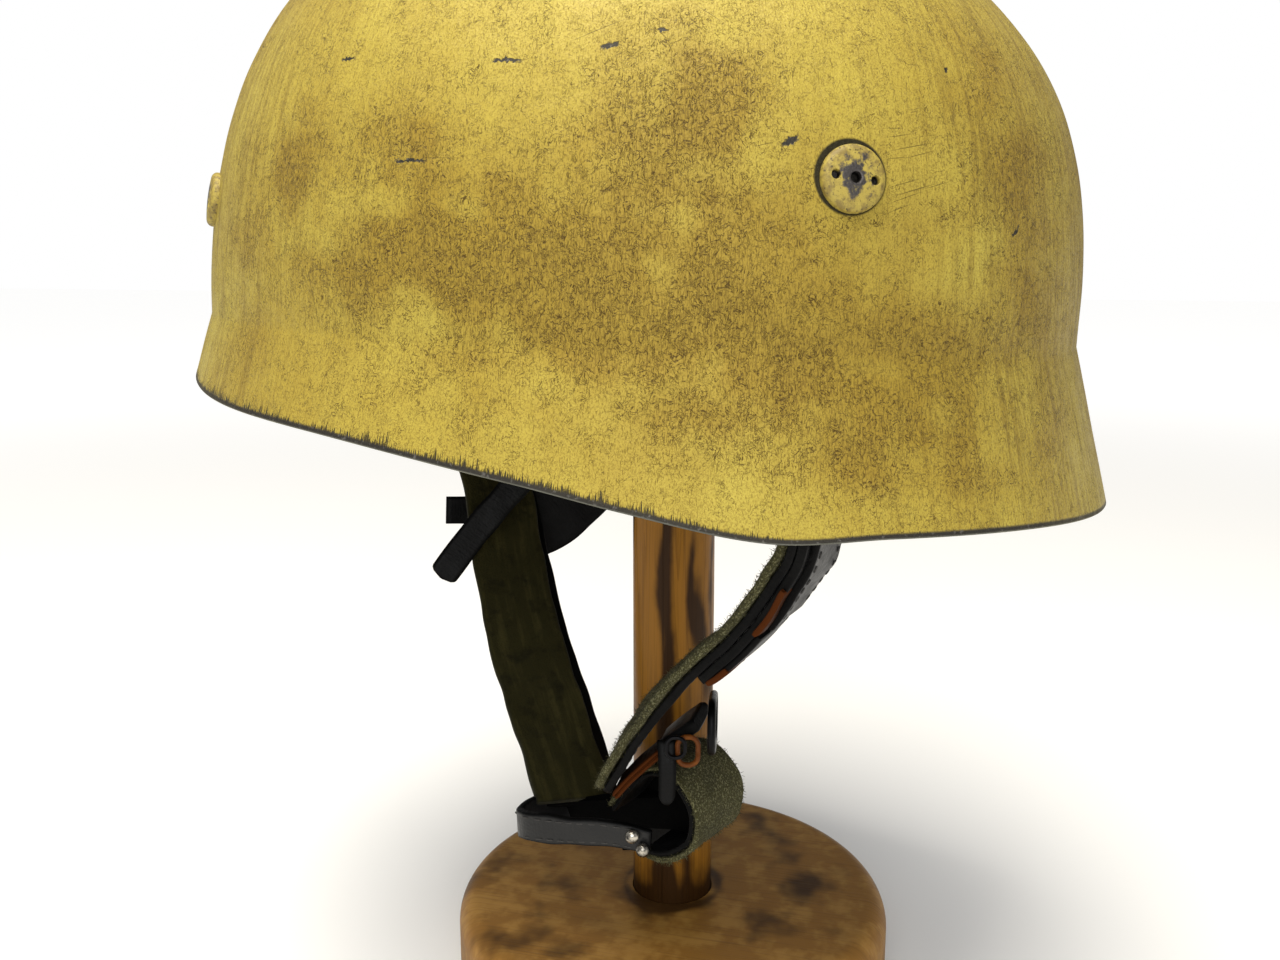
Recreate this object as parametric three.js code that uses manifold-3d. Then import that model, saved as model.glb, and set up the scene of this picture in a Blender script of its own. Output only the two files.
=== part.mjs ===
// Steel paratrooper helmet with its leather harness, resting on a turned wooden stand.
// Millimetres. Z is up, the brow faces -Y, the wearer's left side is +X.
// The origin is the centre of the underside of the stand.
import * as THREE from 'three';
import Module from 'manifold-3d';
import { mergeVertices } from 'three/addons/utils/BufferGeometryUtils.js';

const wasm = await Module();
wasm.setup();

// Shell plan and height
const bodyFront = 134.3;        // centre of the shell to the brow, at the crease
const bodyRear = 130.1;         // centre of the shell to the nape, at the crease
const bodyHalfWidth = 110.3;    // centre of the shell to one side, at the crease
const planPower = 2.1;          // roundness of the plan, 2 is an ellipse
const crownRise = 120.4;        // crease to crown
const creaseRise = 193.1;       // top of the stand's disc to the crease
const shellForward = 10.7;      // centre of the shell ahead of the post
const shellTilt = 2.04;         // degrees, nape down
const steelThickness = 1.6;
const boltAzimuthFront = 28;    // degrees from the brow
const boltAzimuthRear = 128;    // degrees from the brow
const boltLevel = 0.153;        // share of the way from crease to crown, as an angle

// Dome section exponents, brow and nape
const domePowers = [
  { end: 'brow', radial: 3.59, rise: 2.16 },
  { end: 'nape', radial: 2.42, rise: 2.75 },
];

// Rim below the crease: azimuth in degrees from the brow, depth and outward flare as shares of crownRise
const rimRows = [
  { azimuth: 0, depth: 0.119, flare: 0.044 },
  { azimuth: 38, depth: 0.173, flare: 0.046 },
  { azimuth: 66, depth: 0.198, flare: 0.051 },
  { azimuth: 90, depth: 0.247, flare: 0.057 },
  { azimuth: 103, depth: 0.286, flare: 0.063 },
  { azimuth: 119, depth: 0.334, flare: 0.073 },
  { azimuth: 132, depth: 0.327, flare: 0.081 },
  { azimuth: 148, depth: 0.332, flare: 0.091 },
  { azimuth: 180, depth: 0.361, flare: 0.103 },
];

// Spanner bolts
const boltHeadDiameter = 15.4;
const boltHeadRise = 2.0;
const boltShankDiameter = 6;
const boltVentDiameter = 2.4;
const spannerHoleDiameter = 1.8;
const spannerHoleSpacing = 9.4;
const nutDiameter = 12;
const nutThickness = 2.4;

// Harness
const strapWidth = 26;
const narrowWidth = 10.5;
const chinBackWidth = 28;
const buckleStrapWidth = 13;
const leatherThickness = 2.4;
const feltThickness = 2.6;
const thinLeather = 1.6;
const studDiameter = 4.2;

// Buckle frame and ring
const buckleRoom = 3;           // the frame's inside stands off the strap's edges
const buckleHalfHeight = 7;
const buckleWire = 2.4;
const ringDiameter = 9;
const ringHalfWidth = 2.2;
const ringThong = 1.4;

// Stand
const postDiameter = 26.8;
const baseDiameter = 138;
const baseBulge = 4;            // how far the rounded edge stands out past the top face
const baseThickness = 32;
const socketDepth = 12;

// Fits
const gap = 0.3;                // between pieces that touch in the real thing
const strapSag = 2.8;           // a flat strap's middle stands off the curved wall
const drillLength = 5 * strapSag + 2 * nutDiameter;

// Tessellation
const shellColumns = 68;
const domeRings = 12;
const flareRings = 3;
const crownRing = 0.98;         // level of the first ring under the crown

// Stations along each strap, and the first and last station of each layer on it
const nearStations = 40;
const nearLayers = {
  felt: { first: 8, last: 40 },
  second: { first: 13, last: 29 },
  pocket: { first: 13, last: 20 },
  lining: { first: 21, last: 23 },
  keeper: { first: 25, last: 28 },
};
const wallStations = 24;
const farStations = 30;
const farFeltFirst = 6;
const farRearStations = 26;
const loopStations = 26;
const chinStations = 30;
const shortStations = 12;

// Distances from the bolt of the clamped part of a strap
const clampRuns = [-8, 0, 16];

// Harness paths. Each row is a point on the strap's near edge:
// across as a share of bodyHalfWidth, along as a share of half the shell length,
// up as a share of creaseRise above the disc, then the plan heading and lean of the strap's width.
const shellHalfLength = (bodyFront + bodyRear) / 2;

const nearRearRows = [
  { across: 0.801, along: 0.370, up: 0.753, heading: -105, lean: -5 },
  { across: 0.766, along: 0.332, up: 0.696, heading: -100, lean: -8 },
  { across: 0.707, along: 0.254, up: 0.612, heading: -91, lean: -13 },
  { across: 0.656, along: 0.149, up: 0.532, heading: -82, lean: -17 },
  { across: 0.595, along: 0.047, up: 0.434, heading: -75, lean: -21 },
  { across: 0.549, along: -0.044, up: 0.327, heading: -73, lean: -24 },
  { across: 0.534, along: -0.069, up: 0.295, heading: -73, lean: -25 },
];
// Hidden run of the front left strap along the wall, lower edge
const wallRows = [
  { azimuth: 56, level: -0.05 },
  { azimuth: 78, level: -0.2 },
  { azimuth: 100, level: -0.3 },
];
const buckleStrapRows = [
  { across: 0.545, along: -0.018, up: 0.306, heading: -81, lean: -7 },
  { across: 0.542, along: 0.036, up: 0.351, heading: -81, lean: -7 },
  { across: 0.540, along: 0.100, up: 0.391, heading: -81, lean: -6 },
  { across: 0.545, along: 0.172, up: 0.436, heading: -82, lean: -6 },
];
const farFrontRows = [
  { across: -0.469, along: -0.528, up: 0.668, heading: 40, lean: 0 },
  { across: -0.326, along: -0.446, up: 0.543, heading: 33, lean: 0 },
  { across: -0.119, along: -0.330, up: 0.414, heading: 29, lean: 0 },
  { across: 0.060, along: -0.215, up: 0.312, heading: 36, lean: 0 },
  { across: 0.161, along: -0.152, up: 0.254, heading: 44, lean: 0 },
  { across: 0.233, along: -0.111, up: 0.213, heading: 50, lean: 0 },
];
const farRearRows = [
  { across: -0.674, along: -0.238, up: 0.660, heading: -30, lean: 58 },
  { across: -0.647, along: -0.325, up: 0.600, heading: 6, lean: 72 },
  { across: -0.594, along: -0.399, up: 0.547, heading: 15, lean: 72 },
  { across: -0.548, along: -0.487, up: 0.508, heading: 15, lean: 72 },
  { across: -0.515, along: -0.560, up: 0.492, heading: 15, lean: 78 },
];
const loopRows = [
  { across: 0.413, along: -0.065, up: 0.252, heading: -110, lean: 0 },
  { across: 0.431, along: -0.022, up: 0.296, heading: -110, lean: 0 },
  { across: 0.454, along: 0.030, up: 0.330, heading: -110, lean: 0 },
  { across: 0.475, along: 0.080, up: 0.334, heading: -110, lean: 0 },
  { across: 0.493, along: 0.120, up: 0.312, heading: -110, lean: 0 },
  { across: 0.502, along: 0.143, up: 0.284, heading: -110, lean: 0 },
  { across: 0.499, along: 0.136, up: 0.237, heading: -110, lean: 0 },
  { across: 0.486, along: 0.104, up: 0.212, heading: -110, lean: 0 },
  { across: 0.469, along: 0.066, up: 0.198, heading: -110, lean: 0 },
  { across: 0.451, along: 0.025, up: 0.195, heading: -110, lean: 0 },
];
const chinRows = [
  { across: 0.200, along: -0.125, up: 0.192, heading: -75, lean: 63 },
  { across: 0.296, along: -0.184, up: 0.192, heading: -45, lean: 66 },
  { across: 0.390, along: -0.234, up: 0.197, heading: -30, lean: 73 },
  { across: 0.456, along: -0.257, up: 0.197, heading: 15, lean: 84 },
  { across: 0.485, along: -0.240, up: 0.202, heading: 0, lean: 90 },
  { across: 0.498, along: -0.147, up: 0.207, heading: 0, lean: 90 },
  { across: 0.498, along: -0.045, up: 0.212, heading: 0, lean: 90 },
  { across: 0.496, along: 0.048, up: 0.207, heading: 0, lean: 90 },
];
const chinBackRows = [
  { across: 0.187, along: -0.091, up: 0.115, heading: 0, lean: 90 },
  { across: 0.158, along: -0.012, up: 0.115, heading: 0, lean: 90 },
  { across: 0.132, along: 0.069, up: 0.115, heading: 0, lean: 90 },
];
const foldLowerRows = [
  { across: -0.261, along: -0.446, up: 0.682, heading: 15, lean: 45 },
  { across: -0.178, along: -0.559, up: 0.582, heading: 15, lean: 45 },
  { across: -0.106, along: -0.637, up: 0.501, heading: 15, lean: 45 },
];
const foldUpperRows = [
  { across: -0.414, along: -0.581, up: 0.584, heading: 0, lean: 90 },
  { across: -0.385, along: -0.657, up: 0.584, heading: 0, lean: 90 },
  { across: -0.335, along: -0.738, up: 0.587, heading: 0, lean: 90 },
];
const tongueRows = [
  { across: 0.564, along: 0.118, up: 0.415, heading: 15, lean: 0 },
  { across: 0.580, along: 0.123, up: 0.371, heading: 15, lean: 0 },
  { across: 0.580, along: 0.122, up: 0.318, heading: 15, lean: 0 },
];


// Small fittings of the fastening, placed by the same shares
const studRows = [
  { name: 'stud_upper', across: 0.526, along: 0.012, up: 0.244 },
  { name: 'stud_lower', across: 0.526, along: 0.037, up: 0.224 },
];
const studFacing = { heading: 105, lean: 0 };
const buckleRow = { across: 0.414, along: 0.172, up: 0.414, heading: -80, lean: -15 };
const ringRow = { across: 0.555, along: 0.142, up: 0.399, heading: -165, lean: 0 };

// Finishes
const sandPaint = new THREE.MeshStandardMaterial({ color: 0xbfa54f, roughness: 0.62, metalness: 0.0 });
const blackLeather = new THREE.MeshStandardMaterial({ color: 0x1b1b1e, roughness: 0.45, metalness: 0.0 });
const brownLeather = new THREE.MeshStandardMaterial({ color: 0x8a4a1c, roughness: 0.75, metalness: 0.0 });
const oliveFelt = new THREE.MeshStandardMaterial({ color: 0x4c4b31, roughness: 0.95, metalness: 0.0 });
const blackMetal = new THREE.MeshStandardMaterial({ color: 0x17171a, roughness: 0.35, metalness: 0.8 });
const nickel = new THREE.MeshStandardMaterial({ color: 0xb9b4aa, roughness: 0.3, metalness: 1.0 });
const darkSteel = new THREE.MeshStandardMaterial({ color: 0x5a5a58, roughness: 0.5, metalness: 0.9 });
const burntPine = new THREE.MeshStandardMaterial({ color: 0x7a5426, roughness: 0.5, metalness: 0.0 });

const radians = THREE.MathUtils.degToRad;

// Value of a table column at an azimuth, by a smooth curve through its rows
function columnAt(rows, column, azimuth) {
  const a = Math.abs(azimuth);
  let i = 0;
  while (i < rows.length - 2 && a > rows[i + 1].azimuth) i += 1;
  const p0 = rows[Math.max(i - 1, 0)];
  const p1 = rows[i];
  const p2 = rows[i + 1];
  const p3 = rows[Math.min(i + 2, rows.length - 1)];
  const span = p2.azimuth - p1.azimuth;
  const t = (a - p1.azimuth) / span;
  const slopeIn = i === 0 ? 0 : (p2[column] - p0[column]) / (p2.azimuth - p0.azimuth);
  const slopeOut = i === rows.length - 2 ? 0 : (p3[column] - p1[column]) / (p3.azimuth - p1.azimuth);
  const t2 = t * t;
  const t3 = t2 * t;
  return (2 * t3 - 3 * t2 + 1) * p1[column]
    + (t3 - 2 * t2 + t) * span * slopeIn
    + (3 * t2 - 2 * t3) * p2[column]
    + (t3 - t2) * span * slopeOut;
}

// Point on the outer face of the shell. Level 1 is the crown, 0 the crease, -1 the rim.
function shellPoint(azimuth, level) {
  const phi = radians(azimuth);
  const s = Math.abs(Math.sin(phi));
  const c = Math.abs(Math.cos(phi));
  const half = Math.cos(phi) > 0 ? bodyFront : bodyRear;
  const plan = ((s / bodyHalfWidth) ** planPower + (c / half) ** planPower) ** (-1 / planPower);
  const rear = (1 - Math.cos(phi)) / 2;
  let radius = plan;
  let rise = 0;
  if (level >= 0) {
    const t = level * Math.PI / 2;
    const radial = domePowers[0].radial + (domePowers[1].radial - domePowers[0].radial) * rear;
    const power = domePowers[0].rise + (domePowers[1].rise - domePowers[0].rise) * rear;
    radius = plan * Math.max(Math.cos(t), 0) ** (2 / radial);
    rise = crownRise * Math.max(Math.sin(t), 0) ** (2 / power);
  } else {
    radius = plan - level * crownRise * columnAt(rimRows, 'flare', azimuth);
    rise = level * crownRise * columnAt(rimRows, 'depth', azimuth);
  }
  const y = -radius * Math.cos(phi);
  const tilt = radians(shellTilt);
  return new THREE.Vector3(
    radius * Math.sin(phi),
    y * Math.cos(tilt) + rise * Math.sin(tilt) - shellForward,
    rise * Math.cos(tilt) - y * Math.sin(tilt) + creaseRise + baseThickness,
  );
}

// Outward, downward and sideways directions of the wall at a point
function wallFrame(azimuth, level) {
  const step = 0.02;
  const here = shellPoint(azimuth, level);
  const down = shellPoint(azimuth, level - step).sub(shellPoint(azimuth, level + step)).normalize();
  const beside = shellPoint(azimuth + 1, level).sub(shellPoint(azimuth - 1, level)).normalize();
  const outward = new THREE.Vector3().crossVectors(down, beside).normalize();
  const sideways = new THREE.Vector3().crossVectors(outward, down).normalize();
  return { here, down, sideways, outward };
}

// Levels of the rings from under the crown down to the rim
function shellRingLevels() {
  const levels = [];
  for (let i = 0; i < domeRings; i += 1) levels.push(crownRing * (1 - i / domeRings));
  levels.push(0);
  for (let i = 1; i <= flareRings; i += 1) levels.push(-i / flareRings);
  return levels;
}

// Point on the inner face, a steel thickness in from the outer one
function innerPoint(azimuth, level) {
  const frame = wallFrame(azimuth, Math.max(Math.min(level, 0.96), -0.97));
  const outer = shellPoint(azimuth, level);
  return outer.addScaledVector(frame.outward, -steelThickness);
}

// Closed solid for cutting, from a triangle mesh
function toManifold(geometry) {
  const bare = geometry.clone();
  bare.deleteAttribute('normal');
  bare.deleteAttribute('uv');
  const merged = mergeVertices(bare, 1e-4);
  return new wasm.Manifold(new wasm.Mesh({
    numProp: 3,
    vertProperties: new Float32Array(merged.attributes.position.array),
    triVerts: new Uint32Array(merged.index.array),
  }));
}

// Triangle mesh from a cut solid
function fromManifold(solid) {
  const mesh = solid.getMesh();
  const geometry = new THREE.BufferGeometry();
  const count = mesh.numProp;
  const positions = new Float32Array(mesh.vertProperties.length / count * 3);
  for (let i = 0; i < positions.length / 3; i += 1) {
    positions[i * 3] = mesh.vertProperties[i * count];
    positions[i * 3 + 1] = mesh.vertProperties[i * count + 1];
    positions[i * 3 + 2] = mesh.vertProperties[i * count + 2];
  }
  geometry.setAttribute('position', new THREE.BufferAttribute(positions, 3));
  geometry.setIndex(new THREE.BufferAttribute(new Uint32Array(mesh.triVerts), 1));
  geometry.computeVertexNormals();
  return geometry;
}

// Closed skin through a list of vertices and faces
function solidFrom(vertices, faces) {
  const geometry = new THREE.BufferGeometry();
  const positions = new Float32Array(vertices.length * 3);
  vertices.forEach((v, i) => v.toArray(positions, i * 3));
  geometry.setAttribute('position', new THREE.BufferAttribute(positions, 3));
  geometry.setIndex(faces);
  geometry.computeVertexNormals();
  return geometry;
}

// Named node of the helmet
function piece(name, geometry, material) {
  const mesh = new THREE.Mesh(geometry, material);
  mesh.name = name;
  return mesh;
}

// Cylinder along a direction, centred on a point
function rod(centre, direction, diameter, length, sides) {
  const geometry = new THREE.CylinderGeometry(diameter / 2, diameter / 2, length, sides);
  const turn = new THREE.Quaternion().setFromUnitVectors(new THREE.Vector3(0, 1, 0), direction);
  geometry.applyQuaternion(turn);
  geometry.translate(centre.x, centre.y, centre.z);
  return geometry;
}

// Shell: outer face, inner face and the cut edge at the rim
function shellGeometry() {
  const levels = shellRingLevels();
  const vertices = [];
  const faces = [];
  const apexOuter = shellPoint(0, 1);
  vertices.push(apexOuter);
  for (const level of levels) {
    for (let j = 0; j < shellColumns; j += 1) vertices.push(shellPoint(j / shellColumns * 360 - 180, level));
  }
  const innerStart = vertices.length;
  vertices.push(apexOuter.clone().add(new THREE.Vector3(0, 0, -steelThickness)));
  for (const level of levels) {
    for (let j = 0; j < shellColumns; j += 1) vertices.push(innerPoint(j / shellColumns * 360 - 180, level));
  }
  const at = (base, ring, j) => base + 1 + ring * shellColumns + (j % shellColumns);
  for (let j = 0; j < shellColumns; j += 1) {
    faces.push(0, at(0, 0, j), at(0, 0, j + 1));
    faces.push(innerStart, at(innerStart, 0, j + 1), at(innerStart, 0, j));
    for (let k = 0; k < levels.length - 1; k += 1) {
      const a = at(0, k, j);
      const b = at(0, k, j + 1);
      const c = at(0, k + 1, j);
      const d = at(0, k + 1, j + 1);
      faces.push(a, c, b, b, c, d);
      const e = at(innerStart, k, j);
      const f = at(innerStart, k, j + 1);
      const g = at(innerStart, k + 1, j);
      const h = at(innerStart, k + 1, j + 1);
      faces.push(e, f, g, f, h, g);
    }
    const last = levels.length - 1;
    faces.push(at(0, last, j), at(innerStart, last, j), at(0, last, j + 1));
    faces.push(at(0, last, j + 1), at(innerStart, last, j), at(innerStart, last, j + 1));
  }
  return solidFrom(vertices, faces);
}

const boltRows = [
  { name: 'front_left', azimuth: boltAzimuthFront },
  { name: 'front_right', azimuth: -boltAzimuthFront },
  { name: 'rear_left', azimuth: boltAzimuthRear },
  { name: 'rear_right', azimuth: -boltAzimuthRear },
];
const boltHoleDiameter = boltShankDiameter + 2 * gap;
const strapInset = steelThickness + gap + strapSag + leatherThickness;
const nutInset = strapInset + gap;
const shankLength = nutInset + nutThickness;

// Domed bolt with a shank, a vent and two blind spanner holes
function boltGeometry(frame) {
  const radius = boltHeadDiameter / 2;
  const shank = boltShankDiameter / 2;
  const profile = [
    new THREE.Vector2(0, -shankLength),
    new THREE.Vector2(shank, -shankLength),
    new THREE.Vector2(shank, gap),
    new THREE.Vector2(radius, gap),
    new THREE.Vector2(radius, gap + 0.35 * boltHeadRise),
    new THREE.Vector2(radius * 0.86, gap + 0.72 * boltHeadRise),
    new THREE.Vector2(radius * 0.5, gap + 0.95 * boltHeadRise),
    new THREE.Vector2(0, gap + boltHeadRise),
  ];
  const lathe = new THREE.LatheGeometry(profile, 14);
  let solid = toManifold(lathe);
  const up = new THREE.Vector3(0, 1, 0);
  const vent = rod(new THREE.Vector3(0, 0, 0), up, boltVentDiameter, 4 * shankLength, 10);
  solid = solid.subtract(toManifold(vent));
  for (const side of [-1, 1]) {
    const centre = new THREE.Vector3(side * spannerHoleSpacing / 2, gap + boltHeadRise, 0);
    solid = solid.subtract(toManifold(rod(centre, up, spannerHoleDiameter, 2 * boltHeadRise * 0.7, 8)));
  }
  const geometry = fromManifold(solid);
  const basis = new THREE.Matrix4().makeBasis(frame.sideways, frame.outward, frame.down);
  basis.setPosition(frame.here);
  geometry.applyMatrix4(basis);
  return geometry;
}

// Round nut inside the strap
function nutGeometry(frame) {
  const centre = frame.here.clone().addScaledVector(frame.outward, -(nutInset + nutThickness / 2));
  const disc = toManifold(rod(centre, frame.outward, nutDiameter, nutThickness, 16));
  return fromManifold(disc.subtract(drill(centre, frame.outward, boltHoleDiameter, nutThickness * 3)));
}

// Direction from a plan heading and a rise, in degrees
function widthDirection({ heading, lean }) {
  const a = radians(heading);
  const l = radians(lean);
  return new THREE.Vector3(Math.sin(a) * Math.cos(l), -Math.cos(a) * Math.cos(l), Math.sin(l));
}

// Point of the harness from its shares of the shell's sizes
function harnessPoint({ across, along, up }) {
  return new THREE.Vector3(across * bodyHalfWidth, along * shellHalfLength, up * creaseRise + baseThickness);
}

// Strap path through a table
function pathFromRows(rows) {
  return rows.map((row) => ({ point: harnessPoint(row), width: widthDirection(row) }));
}

// Start of a strap clamped under a bolt, leaving the bolt at a slant from straight down
function clampedStart(frame, slant, lengths, width) {
  const s = radians(slant);
  const run = frame.down.clone().multiplyScalar(Math.cos(s)).addScaledVector(frame.sideways, Math.sin(s));
  const across = frame.sideways.clone().multiplyScalar(Math.cos(s)).addScaledVector(frame.down, -Math.sin(s));
  return lengths.map((length) => ({
    point: frame.here.clone()
      .addScaledVector(frame.outward, -strapInset)
      .addScaledVector(run, length)
      .addScaledVector(across, -width / 2),
    width: across.clone(),
  }));
}

// Band of leather or felt swept along a path. Near and far lifts are measured from the path along the face.
function bandGeometry(path, width, liftFrom, liftTo, segments, first = 0, last = segments) {
  const curve = new THREE.CatmullRomCurve3(path.map((p) => p.point), false, 'centripetal');
  const widths = new THREE.CatmullRomCurve3(path.map((p) => p.width), false, 'catmullrom', 0.5);
  curve.arcLengthDivisions = 400;
  const vertices = [];
  for (let i = first; i <= last; i += 1) {
    const t = curve.getUtoTmapping(i / segments);
    const point = curve.getPoint(t);
    const run = curve.getTangent(t).normalize();
    const across = widths.getPoint(t);
    across.addScaledVector(run, -across.dot(run)).normalize();
    const face = new THREE.Vector3().crossVectors(run, across).normalize();
    for (const [w, lift] of [[0, liftFrom], [width, liftFrom], [width, liftTo], [0, liftTo]]) {
      vertices.push(point.clone().addScaledVector(across, w).addScaledVector(face, lift));
    }
  }
  const faces = [];
  for (let i = 0; i < last - first; i += 1) {
    for (let c = 0; c < 4; c += 1) {
      const a = i * 4 + c;
      const b = i * 4 + (c + 1) % 4;
      const d = a + 4;
      const e = b + 4;
      faces.push(a, b, d, b, e, d);
    }
  }
  const end = (last - first) * 4;
  faces.push(0, 2, 1, 0, 3, 2);
  faces.push(end, end + 1, end + 2, end, end + 2, end + 3);
  return solidFrom(vertices, faces);
}

// Tool for a round hole whose flats clear the wanted diameter
function drill(centre, direction, diameter, length, sides = 16) {
  return toManifold(rod(centre, direction, diameter / Math.cos(Math.PI / sides), length, sides));
}

// Rounded oblong of round wire lying across two directions
function wireLoop(centre, first, second, halfFirst, halfSecond, diameter) {
  const corner = Math.min(halfFirst, halfSecond) * 0.6;
  const normal = new THREE.Vector3().crossVectors(first, second).normalize();
  const stops = [];
  for (const [sa, sb, start] of [[1, 1, 0], [-1, 1, 90], [-1, -1, 180], [1, -1, 270]]) {
    for (const turn of [0, 45, 90]) {
      const a = radians(start + turn);
      const x = sa * (halfFirst - corner) + Math.cos(a) * corner;
      const y = sb * (halfSecond - corner) + Math.sin(a) * corner;
      stops.push([x, y, a]);
    }
  }
  const sides = 6;
  const vertices = [];
  for (const [x, y, a] of stops) {
    const point = centre.clone().addScaledVector(first, x).addScaledVector(second, y);
    const outward = first.clone().multiplyScalar(Math.cos(a)).addScaledVector(second, Math.sin(a));
    for (let k = 0; k < sides; k += 1) {
      const b = k / sides * Math.PI * 2;
      vertices.push(point.clone()
        .addScaledVector(outward, Math.cos(b) * diameter / 2)
        .addScaledVector(normal, Math.sin(b) * diameter / 2));
    }
  }
  const faces = [];
  const rings = stops.length;
  for (let i = 0; i < rings; i += 1) {
    for (let k = 0; k < sides; k += 1) {
      const a = i * sides + k;
      const b = i * sides + (k + 1) % sides;
      const c = ((i + 1) % rings) * sides + k;
      const d = ((i + 1) % rings) * sides + (k + 1) % sides;
      faces.push(a, c, b, b, c, d);
    }
  }
  return solidFrom(vertices, faces);
}

// Domed stud on a face
function studGeometry(centre, outward) {
  const r = studDiameter / 2;
  const profile = [[0, 0], [r, 0], [r * 0.9, r * 0.45], [r * 0.5, r * 0.8], [0, r * 0.9]];
  const geometry = new THREE.LatheGeometry(profile.map(([x, y]) => new THREE.Vector2(x, y)), 10);
  const solid = fromManifold(toManifold(geometry));
  solid.applyQuaternion(new THREE.Quaternion().setFromUnitVectors(new THREE.Vector3(0, 1, 0), outward));
  solid.translate(centre.x, centre.y, centre.z);
  return solid;
}

// Band cut back to leave room for the band beside it
function clearedOf(geometry, room) {
  return fromManifold(toManifold(geometry).subtract(toManifold(room)));
}

// Piece with a bolt's hole through it
function drilled(geometry, frame) {
  const hole = drill(frame.here, frame.outward, boltHoleDiameter, drillLength);
  return fromManifold(toManifold(geometry).subtract(hole));
}

// Build
const helmet = new THREE.Group();
helmet.name = 'paratrooper_helmet_on_stand';

const frames = {};
for (const row of boltRows) frames[row.name] = wallFrame(row.azimuth, boltLevel);

let shell = shellGeometry();
for (const row of boltRows) shell = drilled(shell, frames[row.name]);
helmet.add(piece('shell', shell, sandPaint));

for (const row of boltRows) {
  const frame = frames[row.name];
  helmet.add(piece(`bolt_${row.name}`, boltGeometry(frame), sandPaint));
  helmet.add(piece(`nut_${row.name}`, nutGeometry(frame), darkSteel));
}

// Near strap and the layers on it
const layer = leatherThickness + gap;
const overWidth = strapWidth + 2;
const nearRear = [...clampedStart(frames.rear_left, 0, clampRuns, strapWidth), ...pathFromRows(nearRearRows)];
function nearBand(width, liftFrom, liftTo, span = { first: 0, last: nearStations }) {
  return bandGeometry(nearRear, width, liftFrom, liftTo, nearStations, span.first, span.last);
}
const nearLeather = nearBand(strapWidth, 0, leatherThickness);
helmet.add(piece('strap_rear_left_leather', drilled(nearLeather, frames.rear_left), blackLeather));
const nearRoom = nearBand(overWidth, -gap, layer);
const nearFelt = nearBand(strapWidth, -gap - feltThickness, -gap, nearLayers.felt);
helmet.add(piece('strap_rear_left_felt', clearedOf(nearFelt, nearRoom), oliveFelt));
const secondLayer = nearBand(strapWidth, layer, layer + leatherThickness, nearLayers.second);
helmet.add(piece('strap_front_left_end', clearedOf(secondLayer, nearRoom), blackLeather));
const secondSpan = { first: nearLayers.second.first - 1, last: nearLayers.second.last + 1 };
const secondRoom = nearBand(overWidth, layer - gap, 2 * layer, secondSpan);
const pocket = nearBand(strapWidth, 2 * layer, 2 * layer + leatherThickness, nearLayers.pocket);
helmet.add(piece('adjuster_pocket', clearedOf(pocket, secondRoom), blackLeather));
const lining = nearBand(strapWidth, 2 * layer, 2 * layer + thinLeather, nearLayers.lining);
helmet.add(piece('adjuster_lining', clearedOf(lining, secondRoom), brownLeather));
const keeper = nearBand(strapWidth, 2 * layer, 2 * layer + leatherThickness, nearLayers.keeper);
helmet.add(piece('keeper', clearedOf(keeper, secondRoom), blackLeather));

// Front left strap along the wall
const wallRun = wallRows.map((row) => {
  const frame = wallFrame(row.azimuth, row.level);
  return {
    point: frame.here.clone().addScaledVector(frame.outward, -strapInset),
    width: frame.down.clone().multiplyScalar(-1),
  };
});
const frontLeftSlant = 55;
const nearFront = [...clampedStart(frames.front_left, frontLeftSlant, clampRuns, strapWidth), ...wallRun];
const nearFrontLeather = bandGeometry(nearFront, strapWidth, 0, leatherThickness, wallStations);
helmet.add(piece('strap_front_left_leather', drilled(nearFrontLeather, frames.front_left), blackLeather));

// Far band with its felt
const frontRightSlant = -22;
const farFrontStart = clampedStart(frames.front_right, frontRightSlant, clampRuns, strapWidth);
const farFront = [...farFrontStart, ...pathFromRows(farFrontRows)];
const farLeather = bandGeometry(farFront, strapWidth, 0, leatherThickness, farStations);
const farRoom = bandGeometry(farFront, overWidth, -gap, layer, farStations);
helmet.add(piece('strap_front_right_leather', drilled(farLeather, frames.front_right), blackLeather));
const farFelt = bandGeometry(farFront, strapWidth, -gap - feltThickness, -gap, farStations, farFeltFirst);
helmet.add(piece('strap_front_right_felt', clearedOf(farFelt, farRoom), oliveFelt));

// Far rear strap
const rearRightSlant = 25;
const farRearStart = clampedStart(frames.rear_right, rearRightSlant, clampRuns, strapWidth);
const farRear = [...farRearStart, ...pathFromRows(farRearRows)];
const farRearLeather = bandGeometry(farRear, strapWidth, 0, leatherThickness, farRearStations);
helmet.add(piece('strap_rear_right_leather', drilled(farRearLeather, frames.rear_right), blackLeather));

// Curled end of the chin strap, felt outside and leather inside
const loop = pathFromRows(loopRows);
const loopFelt = bandGeometry(loop, strapWidth, gap, gap + thinLeather, loopStations);
helmet.add(piece('loop_felt', loopFelt, oliveFelt));
const loopLeather = bandGeometry(loop, strapWidth, -thinLeather, 0, loopStations);
helmet.add(piece('loop_leather', loopLeather, blackLeather));

// Chin leather
const farStack = bandGeometry(farFront, strapWidth + 1, -feltThickness - 2 * gap, layer, farStations);
const chin = pathFromRows(chinRows);
const chinLeather = bandGeometry(chin, narrowWidth, 0, leatherThickness, chinStations);
helmet.add(piece('chin_strip', clearedOf(chinLeather, farStack), blackLeather));
const chinBack = bandGeometry(pathFromRows(chinBackRows), chinBackWidth, 0, leatherThickness, shortStations);
helmet.add(piece('chin_back', chinBack, blackLeather));

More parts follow.
